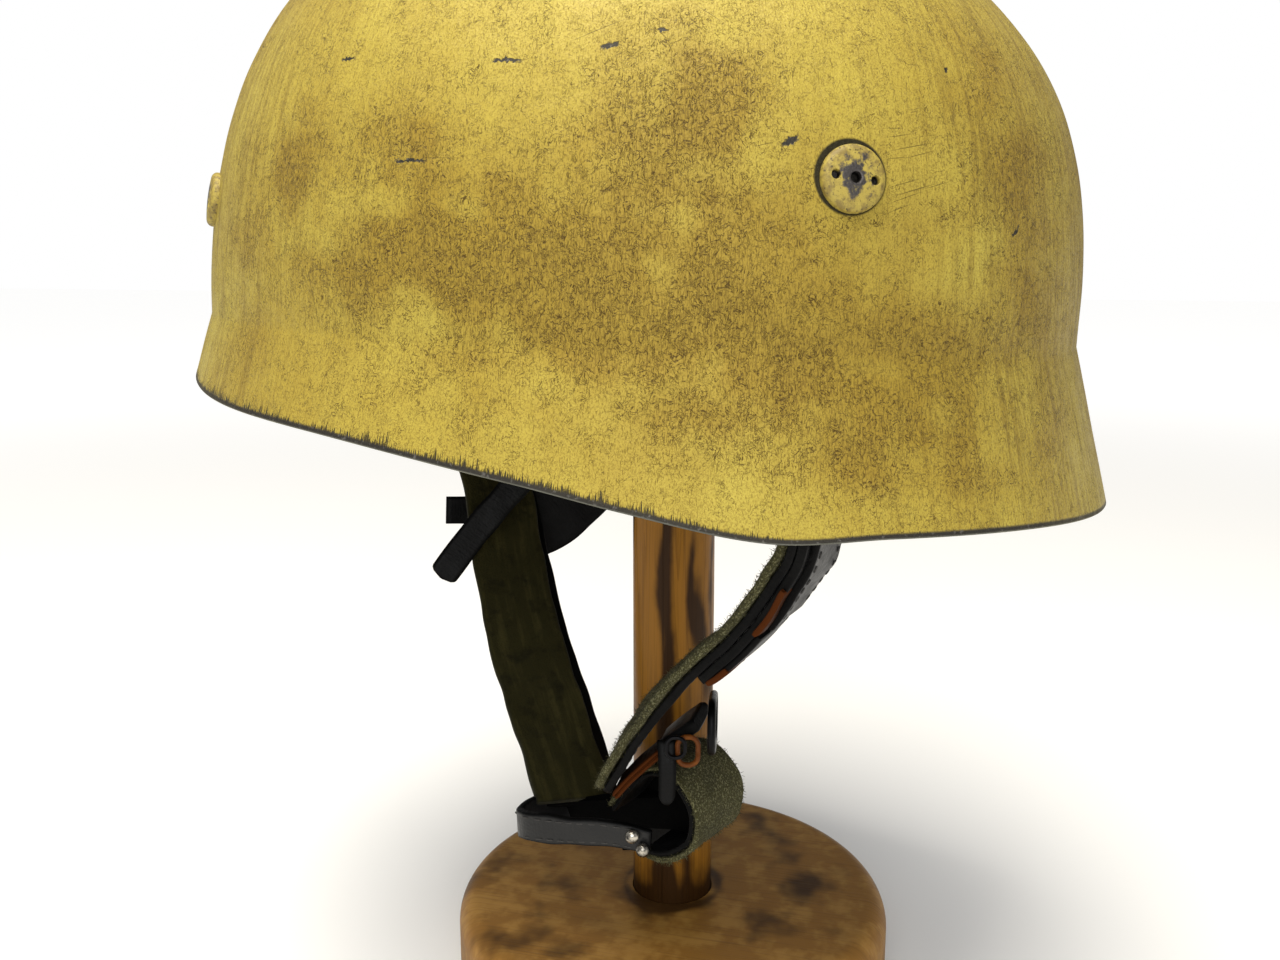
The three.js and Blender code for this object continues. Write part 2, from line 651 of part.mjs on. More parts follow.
// Buckle strap, folded ends and tongue
const buckleStrap = pathFromRows(buckleStrapRows);
const buckleLeather = bandGeometry(buckleStrap, buckleStrapWidth, 0, leatherThickness, shortStations);
const loopRoom = bandGeometry(loop, strapWidth, 0, thinLeather + 2 * gap, loopStations);
helmet.add(piece('buckle_strap', clearedOf(clearedOf(buckleLeather, loopRoom), nearRoom), brownLeather));
const foldLower = bandGeometry(pathFromRows(foldLowerRows), narrowWidth, 0, leatherThickness, shortStations);
helmet.add(piece('fold_lower', foldLower, blackLeather));
const foldUpper = bandGeometry(pathFromRows(foldUpperRows), narrowWidth, 0, leatherThickness, shortStations);
helmet.add(piece('fold_upper', clearedOf(foldUpper, farStack), blackLeather));
const tongue = bandGeometry(pathFromRows(tongueRows), narrowWidth / 2, 0, leatherThickness, shortStations);
helmet.add(piece('tongue', tongue, blackLeather));

// Buckle frame, ring and studs
const vertical = new THREE.Vector3(0, 0, 1);
const buckleAcross = widthDirection(buckleRow);
const buckleNormal = new THREE.Vector3().crossVectors(buckleAcross, vertical);
const buckleUp = new THREE.Vector3().crossVectors(buckleNormal, buckleAcross).normalize();
const buckleAt = harnessPoint(buckleRow);
const buckleHalfWidth = strapWidth / 2 + buckleRoom;
const buckle = wireLoop(buckleAt, buckleAcross, buckleUp, buckleHalfWidth, buckleHalfHeight, buckleWire);
helmet.add(piece('buckle_frame', buckle, blackMetal));
const ringAt = harnessPoint(ringRow);
const ringAcross = widthDirection(ringRow);
const ring = wireLoop(ringAt, ringAcross, vertical, ringHalfWidth, ringDiameter / 2, ringThong);
helmet.add(piece('leather_ring', ring, brownLeather));
for (const row of studRows) {
  helmet.add(piece(row.name, studGeometry(harnessPoint(row), widthDirection(studFacing)), nickel));
}

// Stand
const crownInner = shellPoint(0, 1).z - steelThickness;
const postTop = crownInner - gap - Math.tan(radians(shellTilt)) * (postDiameter / 2 + shellForward) - 0.5;
const postFoot = baseThickness - socketDepth + gap;
const post = new THREE.CylinderGeometry(postDiameter / 2, postDiameter / 2, postTop - postFoot, 32);
post.rotateX(Math.PI / 2);
post.translate(0, 0, (postTop + postFoot) / 2);
helmet.add(piece('stand_post', post, burntPine));

const baseRadius = baseDiameter / 2;
const socketRadius = postDiameter / 2 + gap;
const baseProfile = [
  [0, 0],
  [baseRadius - 1, 0],
  [baseRadius + baseBulge * 0.6, 2.5],
  [baseRadius + baseBulge, 8],
  [baseRadius + baseBulge, baseThickness - 12],
  [baseRadius + baseBulge * 0.8, baseThickness - 5],
  [baseRadius + baseBulge * 0.4, baseThickness - 1.5],
  [baseRadius, baseThickness],
  [socketRadius, baseThickness],
  [socketRadius, baseThickness - socketDepth],
  [0, baseThickness - socketDepth],
];
const base = new THREE.LatheGeometry(baseProfile.map(([r, z]) => new THREE.Vector2(r, z)), 36);
base.rotateX(Math.PI / 2);
helmet.add(piece('stand_base', fromManifold(toManifold(base)), burntPine));

export default helmet;
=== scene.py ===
"""Steel paratrooper helmet with its leather harness, at rest on a turned and scorched pine stand.

Millimetres in the tables and sizes, metres in the meshes. Z is up, the brow faces -Y and the
wearer's left side is +X. Azimuths are degrees round the shell from the brow towards +X.
"""
import logging
from dataclasses import dataclass, field
from enum import Enum
from typing import Any, Mapping, Sequence

import bpy
import numpy as np
from mathutils import Matrix, Vector


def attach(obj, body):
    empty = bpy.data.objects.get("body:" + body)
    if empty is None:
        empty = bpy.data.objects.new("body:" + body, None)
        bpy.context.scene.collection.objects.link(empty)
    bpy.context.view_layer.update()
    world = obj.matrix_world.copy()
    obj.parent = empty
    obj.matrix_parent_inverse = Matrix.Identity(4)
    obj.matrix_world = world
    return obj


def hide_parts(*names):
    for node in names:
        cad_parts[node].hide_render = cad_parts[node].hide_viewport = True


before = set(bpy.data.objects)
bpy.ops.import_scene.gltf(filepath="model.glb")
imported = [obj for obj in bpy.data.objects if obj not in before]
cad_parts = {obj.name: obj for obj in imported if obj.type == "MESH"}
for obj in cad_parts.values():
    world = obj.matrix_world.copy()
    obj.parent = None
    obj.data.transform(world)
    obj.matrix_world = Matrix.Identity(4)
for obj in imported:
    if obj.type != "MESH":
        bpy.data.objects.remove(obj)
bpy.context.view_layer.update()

MM = 0.001
STRAP_SHARES = np.array([110.3, 132.2, 193.1])
STAND_TOP = 32.0
BOLT_LEVEL = 0.153
log = logging.getLogger("helmet")


# Colour and nodes

def linear(code: str) -> tuple[float, float, float, float]:
    """Turns an sRGB hex colour into linear RGBA.

    Args:
        code: six hex digits, with or without a leading #.

    Returns:
        Linear red, green, blue and an alpha of 1.
    """
    values = [int(code.lstrip("#")[i:i + 2], 16) / 255 for i in (0, 2, 4)]
    steps = [v / 12.92 if v <= 0.04045 else ((v + 0.055) / 1.055) ** 2.4 for v in values]
    return steps[0], steps[1], steps[2], 1.0


def add_node(tree: bpy.types.NodeTree, kind: str, inputs: Mapping[Any, Any] | None = None,
             **settings: Any) -> bpy.types.Node:
    """Adds one node with its settings, values and links.

    Args:
        tree: the material's node tree.
        kind: the node's type name, without its ShaderNode prefix.
        inputs: socket name or number to a value, or to the socket that feeds it.
        settings: attributes of the node.

    Returns:
        The new node.
    """
    node = tree.nodes.new("ShaderNode" + kind)
    for key, value in settings.items():
        setattr(node, key, value)
    for key, value in (inputs or {}).items():
        socket = node.inputs[key]
        if isinstance(value, bpy.types.NodeSocket):
            tree.links.new(value, socket)
        else:
            socket.default_value = value
    return node


class Surface:
    """A material under construction: its node tree and the few moves that every finish makes."""

    def __init__(self, name: str) -> None:
        """Starts a material with an empty tree.

        Args:
            name: the real finish.
        """
        self.material = bpy.data.materials.new(name)
        self.material.use_nodes = True
        self.tree = self.material.node_tree
        self.tree.nodes.clear()
        self.place = add_node(self.tree, "TexCoord").outputs["Object"]

    def attribute(self, name: str, output: str = "Fac") -> bpy.types.NodeSocket:
        """Reads a named attribute of the mesh."""
        return add_node(self.tree, "Attribute", attribute_name=name).outputs[output]

    def scaled(self, vector: bpy.types.NodeSocket, sizes: Sequence[float],
               turn: float = 0.0) -> bpy.types.NodeSocket:
        """Divides a vector by feature sizes, then turns it about its third axis.

        Features stay in line with the vector's own axes, and the turn only reads the pattern elsewhere.

        Args:
            vector: the coordinates to read.
            sizes: feature size along each axis, in the coordinates' own unit.
            turn: degrees.

        Returns:
            Coordinates in which one unit is one feature.
        """
        return add_node(self.tree, "Mapping", {
            "Vector": vector, "Rotation": (0.0, 0.0, np.radians(turn)),
            "Scale": tuple(1 / s for s in sizes)}, vector_type="POINT").outputs[0]

    def noise(self, vector: bpy.types.NodeSocket, size: float, detail: float = 3.0, rough: float = 0.5,
              distortion: float = 0.0) -> bpy.types.NodeSocket:
        """Reads a noise.

        Args:
            vector: the coordinates to read.
            size: about how wide its features are, in the coordinates' own unit.
            detail: how many finer noises are added.
            rough: how strong each finer noise is against the one before.
            distortion: how far the noise curls itself.

        Returns:
            A value from about 0 to 1.
        """
        return add_node(self.tree, "TexNoise", {
            "Vector": vector, "Scale": 1 / size, "Detail": detail, "Roughness": rough,
            "Distortion": distortion}).outputs["Fac"]

    def window(self, value: bpy.types.NodeSocket, low: Any, high: Any, to_low: float = 0.0,
               to_high: float = 1.0) -> bpy.types.NodeSocket:
        """Carries a value smoothly from one range to another, clamped at both ends.

        Args:
            value: what is carried.
            low: where its range starts.
            high: where its range ends.
            to_low: the result at the start.
            to_high: the result at the end.

        Returns:
            The carried value.
        """
        return add_node(self.tree, "MapRange", {
            "Value": value, "From Min": low, "From Max": high, "To Min": to_low, "To Max": to_high},
            interpolation_type="SMOOTHSTEP").outputs[0]

    def sum(self, operation: str, *values: Any) -> bpy.types.NodeSocket:
        """Combines two or three values with one maths operation."""
        return add_node(self.tree, "Math", dict(enumerate(values)), operation=operation).outputs[0]

    def layer(self, below: Any, above: Any, share: Any) -> bpy.types.NodeSocket:
        """Lays one colour over another.

        Args:
            below: the colour underneath, a socket or a hex code.
            above: the colour on top, a socket or a hex code.
            share: how much of the top shows, from 0 to 1.

        Returns:
            The combined colour.
        """
        low, high = (linear(c) if isinstance(c, str) else c for c in (below, above))
        return add_node(self.tree, "Mix", {0: share, 6: low, 7: high}, data_type="RGBA").outputs[2]

    def stain(self, below: Any, tone: str, value: bpy.types.NodeSocket, low: float, high: float,
              most: float = 1.0) -> bpy.types.NodeSocket:
        """Lays a tone over a colour where a pattern is high.

        Args:
            below: the colour underneath, a socket or a hex code.
            tone: the hex code on top.
            value: the pattern.
            low: where the pattern starts to show.
            high: where it shows fully.
            most: the tone's share there.

        Returns:
            The combined colour.
        """
        return self.layer(below, tone, self.window(value, low, high, 0.0, most))

    def relief(self, height: bpy.types.NodeSocket, depth: float,
               below: bpy.types.NodeSocket | None = None) -> bpy.types.NodeSocket:
        """Turns a height into a normal.

        Args:
            height: the pattern that stands up.
            depth: how far a height of 1 stands up, in metres.
            below: the normal that it is laid over.

        Returns:
            The bumped normal.
        """
        inputs: dict[Any, Any] = {"Strength": 1.0, "Distance": depth, "Height": height}
        if below is not None:
            inputs["Normal"] = below
        return add_node(self.tree, "Bump", inputs).outputs[0]

    def finish(self, **sockets: Any) -> bpy.types.Material:
        """Closes the material with a Principled shader.

        Args:
            sockets: socket names with underscores for spaces, and their values or links.

        Returns:
            The material.
        """
        inputs = {name.replace("_", " "): value for name, value in sockets.items()}
        shader = add_node(self.tree, "BsdfPrincipled", inputs)
        add_node(self.tree, "OutputMaterial", {"Surface": shader.outputs[0]})
        return self.material


# Meshes

def grid_faces(rows: int, columns: int, closed_rows: bool = False,
               closed_columns: bool = False) -> np.ndarray:
    """Quads over a grid of vertices numbered row by row.

    Args:
        rows: how many rows of vertices there are.
        columns: how many vertices a row has.
        closed_rows: whether the last row joins the first.
        closed_columns: whether each row's end joins its start.

    Returns:
        Corner numbers, four to a face. Each face goes along its row, then to the next row.
    """
    r = np.arange(rows if closed_rows else rows - 1)[:, None]
    c = np.arange(columns if closed_columns else columns - 1)[None, :]
    r2, c2 = (r + 1) % rows, (c + 1) % columns
    corners = [r * columns + c, r * columns + c2, r2 * columns + c2, r2 * columns + c]
    return np.stack([np.broadcast_to(k, (r.size, c.size)) for k in corners], -1).reshape(-1, 4)


def circle(count: int) -> np.ndarray:
    """Equally spaced angles once round, in radians."""
    return np.linspace(0, 2 * np.pi, count, endpoint=False)


def revolved(profile: np.ndarray, count: int, centre: np.ndarray, axes: Sequence[np.ndarray]) -> np.ndarray:
    """A profile turned about an axis.

    Args:
        profile: radius and height of each ring.
        count: how many points a ring has.
        centre: the axis's foot.
        axes: the two directions that span a ring, then the axis.

    Returns:
        Points, a ring to a row.
    """
    first, second, axis = axes
    r, z, a = profile[:, 0, None, None], profile[:, 1, None, None], circle(count)[:, None]
    return centre + axis * z + first * (r * np.cos(a)) + second * (r * np.sin(a))


class Store(Enum):
    """How a value is kept for each vertex of a mesh: the attribute's type and the field that is filled."""

    NUMBER = ("FLOAT", "value")
    PLACE = ("FLOAT_VECTOR", "vector")


@dataclass
class Skin:
    """Vertices in millimetres, faces and per-vertex attributes on their way to a mesh."""

    points: np.ndarray
    faces: np.ndarray
    values: dict[str, np.ndarray] = field(default_factory=dict)

    def fan(self, ring: np.ndarray, centre: np.ndarray, outward: bool = True) -> "Skin":
        """Closes a ring of vertices with triangles to one new vertex.

        Args:
            ring: vertex numbers in order round the opening.
            centre: where the new vertex goes.
            outward: False turns the triangles round.

        Returns:
            A skin with the extra vertex; its values there are the ring's means.
        """
        tip = len(self.points)
        after = np.roll(ring, -1)
        order = [ring, after] if outward else [after, ring]
        tris = np.stack([*order, np.full(len(ring), tip), np.full(len(ring), -1)], -1)
        values = {key: np.concatenate([value, value[ring].mean(0, keepdims=True)])
                  for key, value in self.values.items()}
        return Skin(np.vstack([self.points, centre]), np.vstack([self.faces, tris]), values)

    @staticmethod
    def joined(skins: Sequence["Skin"]) -> "Skin":
        """Several skins as one.

        Args:
            skins: the skins, all with the values that the first one has.

        Returns:
            The joined skin.
        """
        starts = np.cumsum([0] + [len(s.points) for s in skins[:-1]])
        faces = [np.where(s.faces < 0, -1, s.faces + k) for s, k in zip(skins, starts)]
        values = {k: np.concatenate([s.values[k] for s in skins]) for k in skins[0].values}
        return Skin(np.vstack([s.points for s in skins]), np.vstack(faces), values)


@dataclass
class Piece:
    """One finished object: its skin, its finish and what it stands for in the frame."""

    name: str
    skin: Skin
    material: bpy.types.Material
    stands_for: tuple[str, ...] = ()
    slot: str = ""
    crease: float = 35.0

    def build(self) -> bpy.types.Object:
        """Makes the mesh and the object, and hangs it on the frame.

        Returns:
            The object, at the origin, with its place in its mesh.
        """
        skin = self.skin
        triangle = skin.faces[:, 3] < 0
        corners = skin.faces[~np.stack([np.zeros_like(triangle)] * 3 + [triangle], -1)]
        sizes = np.where(triangle, 3, 4)
        starts = np.concatenate([[0], np.cumsum(sizes)[:-1]])
        mesh = bpy.data.meshes.new(self.name)
        mesh.vertices.add(len(skin.points))
        mesh.vertices.foreach_set("co", (skin.points * MM).astype(np.float32).ravel())
        mesh.loops.add(len(corners))
        mesh.loops.foreach_set("vertex_index", corners.astype(np.int32))
        mesh.polygons.add(len(sizes))
        mesh.polygons.foreach_set("loop_start", starts.astype(np.int32))
        mesh.update(calc_edges=True)
        for key, value in skin.values.items():
            kind, part = (Store.NUMBER if value.ndim == 1 else Store.PLACE).value
            store = mesh.attributes.new(key, kind, "POINT")
            store.data.foreach_set(part, value.astype(np.float32).ravel())
        mesh.validate()
        mesh.shade_smooth()
        mesh.set_sharp_from_angle(angle=np.radians(self.crease))
        mesh.materials.append(self.material)
        item = bpy.data.objects.new(self.name, mesh)
        bpy.context.scene.collection.objects.link(item)
        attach(item, "root")
        if self.stands_for:
            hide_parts(*self.stands_for)
        log.info("%s: %d faces", self.name, len(sizes))
        return item


def ripple(points: np.ndarray, size: float, seed: int, waves: int = 14) -> np.ndarray:
    """Smooth pseudo-random field: the mean of sine waves in seeded directions.

    Args:
        points: places, one a row.
        size: typical width of a swell, in the unit of the points.
        seed: which field.
        waves: how many sine waves are added.

    Returns:
        One value a point, from about -1 to 1.
    """
    dice = np.random.default_rng(seed)
    axes = dice.normal(size=(waves, points.shape[-1]))
    axes *= (np.pi / size) * dice.uniform(0.6, 1.6, (waves, 1)) / np.linalg.norm(axes, axis=1, keepdims=True)
    return np.sin(points @ axes.T + dice.uniform(0, 2 * np.pi, waves)).sum(-1) / np.sqrt(waves / 1.2)


def unit(vectors: np.ndarray) -> np.ndarray:
    """The vectors at length 1."""
    return vectors / np.maximum(np.linalg.norm(vectors, axis=-1, keepdims=True), 1e-12)


# Shell

@dataclass(frozen=True)
class RimRow:
    """One station of the rim: depth and outward flare below the crease, as shares of the crown's rise."""

    azimuth: float
    depth: float
    flare: float


@dataclass(frozen=True)
class Chip:
    """A mark on the paint, with its place, length, width and slant from level: a chip where the paint has
    come off, a scratch, and also the ring of painted shadow round a bolt.
    """

    azimuth: float
    level: float
    length: float
    width: float
    slant: float


@dataclass(frozen=True)
class Patch:
    """A worn area: its middle, its reach round and up the shell in millimetres, and its strength."""

    azimuth: float
    level: float
    round: float
    up: float
    strength: float


@dataclass
class ShellForm:
    """The pressed shell's outer face as a function of azimuth and level.

    Level 1 is the crown, 0 the crease and -1 the rim. The plan is a superellipse with one half length
    ahead and one behind, the dome's section a superellipse whose powers change from brow to nape, and
    below the crease the wall runs straight down and out by the rim table. The whole is tipped by tilt.
    """

    front: float = 134.3
    rear: float = 130.1
    half_width: float = 110.3
    plan_power: float = 2.1
    rise: float = 120.4
    crease: float = 225.1
    forward: float = 10.7
    tilt: float = 2.04
    thickness: float = 1.6
    brow_powers: tuple[float, float] = (3.59, 2.16)
    nape_powers: tuple[float, float] = (2.42, 2.75)
    rim: tuple[RimRow, ...] = (
        RimRow(0, 0.119, 0.044), RimRow(38, 0.173, 0.046), RimRow(66, 0.198, 0.051),
        RimRow(90, 0.247, 0.057), RimRow(103, 0.286, 0.063), RimRow(119, 0.334, 0.073),
        RimRow(132, 0.327, 0.081), RimRow(148, 0.332, 0.091), RimRow(180, 0.361, 0.103))

    def rim_column(self, name: str, azimuth: np.ndarray) -> np.ndarray:
        """A rim column at any azimuth, by a cubic through the rows with level ends.

        Args:
            name: depth or flare.
            azimuth: degrees from the brow.

        Returns:
            The column's values there.
        """
        x = np.array([row.azimuth for row in self.rim])
        y = np.array([getattr(row, name) for row in self.rim])
        slope = np.zeros(len(x))
        slope[1:-1] = (y[2:] - y[:-2]) / (x[2:] - x[:-2])
        a = np.abs(azimuth)
        k = np.clip(np.searchsorted(x, a, side="right") - 1, 0, len(x) - 2)
        h = x[k + 1] - x[k]
        t = (a - x[k]) / h
        return ((2 * t**3 - 3 * t**2 + 1) * y[k] + (t**3 - 2 * t**2 + t) * h * slope[k]
                + (3 * t**2 - 2 * t**3) * y[k + 1] + (t**3 - t**2) * h * slope[k + 1])

    def point(self, azimuth: Any, level: Any) -> np.ndarray:
        """Points of the outer face.

        Args:
            azimuth: degrees from the brow, from -180 to 180.
            level: from -1 at the rim to 1 at the crown.

        Returns:
            X, Y and Z in millimetres.
        """
        azimuth, level = np.broadcast_arrays(np.asarray(azimuth, float), np.asarray(level, float))
        phi = np.radians(azimuth)
        s, c = np.abs(np.sin(phi)), np.abs(np.cos(phi))
        half = np.where(np.cos(phi) > 0, self.front, self.rear)
        bend = self.plan_power
        plan = ((s / self.half_width) ** bend + (c / half) ** bend) ** (-1 / bend)
        rear = (1 - np.cos(phi)) / 2
        t = np.clip(level, 0, 1) * np.pi / 2
        radial = self.brow_powers[0] + (self.nape_powers[0] - self.brow_powers[0]) * rear
        power = self.brow_powers[1] + (self.nape_powers[1] - self.brow_powers[1]) * rear
        below = np.maximum(-level, 0) * self.rise
        radius = plan * np.maximum(np.cos(t), 0) ** (2 / radial) + below * self.rim_column("flare", azimuth)
        height = self.rise * np.sin(t) ** (2 / power) - below * self.rim_column("depth", azimuth)
        y = -radius * np.cos(phi)
        tip = np.radians(self.tilt)
        return np.stack([radius * np.sin(phi), y * np.cos(tip) + height * np.sin(tip) - self.forward,
                         height * np.cos(tip) - y * np.sin(tip) + self.crease], -1)

    def frame(self, azimuth: float, level: float) -> tuple[np.ndarray, np.ndarray, np.ndarray, np.ndarray]:
        """The wall's axes at one place.

        Args:
            azimuth: degrees from the brow.
            level: from -1 at the rim to 1 at the crown.

        Returns:
            The point, and the outward, downward and sideways directions.
        """
        here = self.point(azimuth, level)
        down = unit(self.point(azimuth, level - 0.02) - self.point(azimuth, level + 0.02))
        beside = unit(self.point(azimuth + 1, level) - self.point(azimuth - 1, level))
        outward = unit(np.cross(down, beside))
        return here, outward, down, unit(np.cross(outward, down))

    def levels(self, dome: int, wall: int) -> np.ndarray:
        """Levels from just below the crown to the rim, evenly spaced along the side's section.

        Args:
            dome: how many rows lie above the crease.
            wall: how many lie below it.

        Returns:
            The levels.
        """
        t = np.arccos(np.linspace(0, 1, 4001) ** 2.6) * 2 / np.pi
        path = self.point(np.full(len(t), 100.0), t)
        run = np.concatenate([[0], np.cumsum(np.linalg.norm(np.diff(path, axis=0), axis=1))])
        upper = np.interp(np.linspace(0, run[-1], dome + 1)[1:], run, t)
        return np.concatenate([upper, -np.linspace(0, 1, wall + 1)[1:]])


@dataclass
class Shell:
    """The pressed steel shell, painted sand outside and dark inside, chipped and rubbed at the rim."""

    form: ShellForm
    columns: int = 400
    dome_rings: int = 104
    wall_rings: int = 26
    inner_step: int = 2
    mean_radius: float = 125.0
    chips: tuple[Chip, ...] = (
        Chip(60.8, 0.334, 5.0, 0.8, 4), Chip(74.2, 0.184, 9.0, 0.7, 2), Chip(86.0, 0.310, 8.0, 1.2, 0),
        Chip(99.4, 0.324, 4.6, 1.4, 12), Chip(106.0, 0.346, 3.0, 0.9, 0),
        Chip(121.0, 0.196, 4.4, 1.7, 30), Chip(142.2, 0.300, 2.0, 1.0, 60),
        Chip(150.2, 0.100, 4.0, 0.9, 40))
    # A ring of painted shadow round the bolt in view, set a little off its middle
    bolt_shadows: tuple[Chip, ...] = (Chip(127.83, 0.1553, 17.6, 17.6, 0),)
    scratches: tuple[Chip, ...] = (
        Chip(134.0, 0.205, 7.0, 0.22, 8), Chip(135.5, 0.192, 12.0, 0.26, 10),
        Chip(136.5, 0.183, 10.0, 0.22, 13), Chip(133.5, 0.178, 6.0, 0.20, 6),
        Chip(134.5, 0.150, 8.0, 0.24, 14), Chip(135.5, 0.142, 12.0, 0.28, 15),
        Chip(134.5, 0.134, 9.0, 0.22, 18), Chip(138.5, 0.148, 8.0, 0.20, 14),
        Chip(133.6, 0.122, 6.0, 0.22, 20), Chip(133.5, 0.214, 5.0, 0.20, 2),
        Chip(60.0, 0.030, 17.0, 0.22, -72), Chip(112.0, 0.372, 9.0, 0.22, -38),
        Chip(98.0, 0.350, 14.0, 0.22, 24), Chip(64.0, -0.350, 7.0, 0.20, 60),
        Chip(150.0, -0.30, 9.0, 0.20, 80), Chip(118.0, 0.192, 5.0, 0.20, 14))
    worn: tuple[Patch, ...] = (
        Patch(84, 0.085, 38, 15, 1.0), Patch(98, 0.035, 34, 14, 0.7), Patch(107, 0.09, 22, 26, 0.8),
        Patch(73, 0.18, 18, 16, 0.75), Patch(110, 0.19, 18, 20, 0.8), Patch(108, 0.31, 26, 10, 0.5),
        Patch(126, 0.02, 30, 16, 0.45), Patch(133, -0.38, 34, 17, 1.0),
        Patch(120, -0.10, 30, 14, 0.55), Patch(148, 0.14, 14, 40, 0.75),
        Patch(155, 0.02, 14, 40, 0.55), Patch(55, 0.16, 12, 22, 0.55), Patch(46, 0.08, 14, 40, 0.45),
        Patch(70, 0.05, 24, 16, 0.5), Patch(90, -0.30, 40, 14, 0.35), Patch(-60, 0.1, 50, 40, 0.7),
        Patch(-120, 0.2, 50, 45, 0.8), Patch(180, 0.1, 40, 45, 0.7), Patch(0, 0.2, 40, 40, 0.6),
        Patch(20, 0.5, 60, 30, 0.4), Patch(-150, -0.4, 40, 18, 0.8))

    def outline(self) -> Skin:
        """Outer face, cut rim edge and inner face as one closed skin.

        The outer face is the form on a grid of level by azimuth. The inner face is the outer one moved
        in along its normals by the steel's thickness, and the rim's cut edge is a half round between
        them. Broad swells of a tenth of a millimetre keep the pressing from looking machined.

        Returns:
            The skin, with the values that the paint reads.
        """
        form = self.form
        azimuth = np.linspace(-180, 180, self.columns, endpoint=False)
        levels = form.levels(self.dome_rings, self.wall_rings)
        outer = form.point(azimuth[None, :], levels[:, None])
        along = np.roll(outer, -1, 1) - np.roll(outer, 1, 1)
        up = -np.gradient(outer, axis=0)
        normal = unit(np.cross(along, up))
        swell = 0.12 * ripple(outer.reshape(-1, 3), 34, 3) + 0.05 * ripple(outer.reshape(-1, 3), 12, 4)
        outer = outer + normal * swell.reshape(*outer.shape[:2], 1)
        step = np.linalg.norm(np.diff(outer, axis=0), axis=2)
        above_rim = np.concatenate([np.cumsum(step[::-1], axis=0)[::-1], np.zeros((1, self.columns))])
        half = form.thickness / 2
        last, out = outer[-1], normal[-1]
        below = unit(outer[-1] - outer[-2])
        turns = np.radians([20, 45, 70, 90, 110, 135, 160])
        edge = [last - out * half * (1 - np.cos(a)) + below * half * 0.6 * np.sin(a) for a in turns]
        inner = (outer - normal * form.thickness)[::-self.inner_step]
        inner_rim = above_rim[::-self.inner_step]
        rows = np.concatenate([outer, np.stack(edge), inner])
        wall = np.concatenate([above_rim, np.zeros((len(edge), self.columns)), inner_rim])
        side = np.concatenate([np.zeros(len(levels)), np.linspace(0.2, 0.8, len(edge)), np.ones(len(inner))])
        phi = np.radians(azimuth)
        around = np.stack([self.mean_radius * np.sin(phi), -self.mean_radius * np.cos(phi)], -1)
        around = np.broadcast_to(around, (len(rows), self.columns, 2))
        arc = np.broadcast_to(phi * self.mean_radius, wall.shape)
        brushed = 1 - 0.9 * np.exp(-((np.abs(azimuth) - 98) / 42) ** 4)
        frayed = np.interp(np.abs(azimuth), [0, 50, 105, 125, 180], [0.7, 0.9, 0.95, 0.30, 0.22])
        values = {
            "wall": np.concatenate([around, wall[..., None]], -1).reshape(-1, 3),
            "flat": np.stack([arc, wall, np.zeros_like(wall)], -1).reshape(-1, 3),
            "inside": np.repeat(side, self.columns),
            "worn": self.wear(levels, outer, len(rows)).ravel(),
            "brushed": np.broadcast_to(brushed, wall.shape).ravel(),
            "frayed": np.broadcast_to(frayed, wall.shape).ravel(),
        }
        faces = grid_faces(len(rows), self.columns, closed_columns=True)[:, ::-1]
        skin = Skin(rows.reshape(-1, 3), faces, values)
        ring = np.arange(self.columns)
        crown = form.point(0, 1)
        skin = skin.fan(ring, crown + [0, 0, 0.02], True)
        last_ring = ring + (len(rows) - 1) * self.columns
        return skin.fan(last_ring, crown - [0, 0, form.thickness], False)

    def wear(self, levels: np.ndarray, outer: np.ndarray, rows: int) -> np.ndarray:
        """How rubbed each vertex is: a sum of soft round patches from the table, broken up by swells.

        Args:
            levels: the outer face's rows.
            outer: the outer face's points.
            rows: how many rows the whole skin has.

        Returns:
            A value a vertex, 0 where the paint is fresh.
        """
        total = np.zeros(outer.shape[:2])
        for patch in self.worn:
            here, out, down, side = self.form.frame(patch.azimuth, patch.level)
            away = outer - here
            reach = ((away @ side) / patch.round) ** 2 + ((away @ down) / patch.up) ** 2
            reach += ((away @ out) / 60) ** 2
            total += patch.strength * np.exp(-reach)
        swell = 0.40 * ripple(outer.reshape(-1, 3), 15, 9) + 0.25 * ripple(outer.reshape(-1, 3), 7, 10)
        total *= 1 + swell.reshape(total.shape)
        return np.concatenate([np.clip(total, 0, 1.3), np.zeros((rows - len(levels), outer.shape[1]))])

    def build(self) -> None:
        """Makes the shell."""
        marks = [[self.placed(chip) for chip in table] for table in (self.chips, self.scratches, self.bolt_shadows)]
        Piece("shell_steel", self.outline(), SandPaint().dress(*marks), ("shell",), "sand_paint", 60).build()

    def placed(self, chip: Chip) -> tuple[np.ndarray, np.ndarray, Chip]:
        """Where a mark lies on the wall.

        Args:
            chip: the mark.

        Returns:
            Its middle, its axes (along it, across it and out of the wall) and the mark.
        """
        here, out, down, side = self.form.frame(chip.azimuth, chip.level)
        a = np.radians(chip.slant)
        along = side * np.cos(a) - down * np.sin(a)
        return here, np.stack([along, np.cross(out, along), out], 1), chip


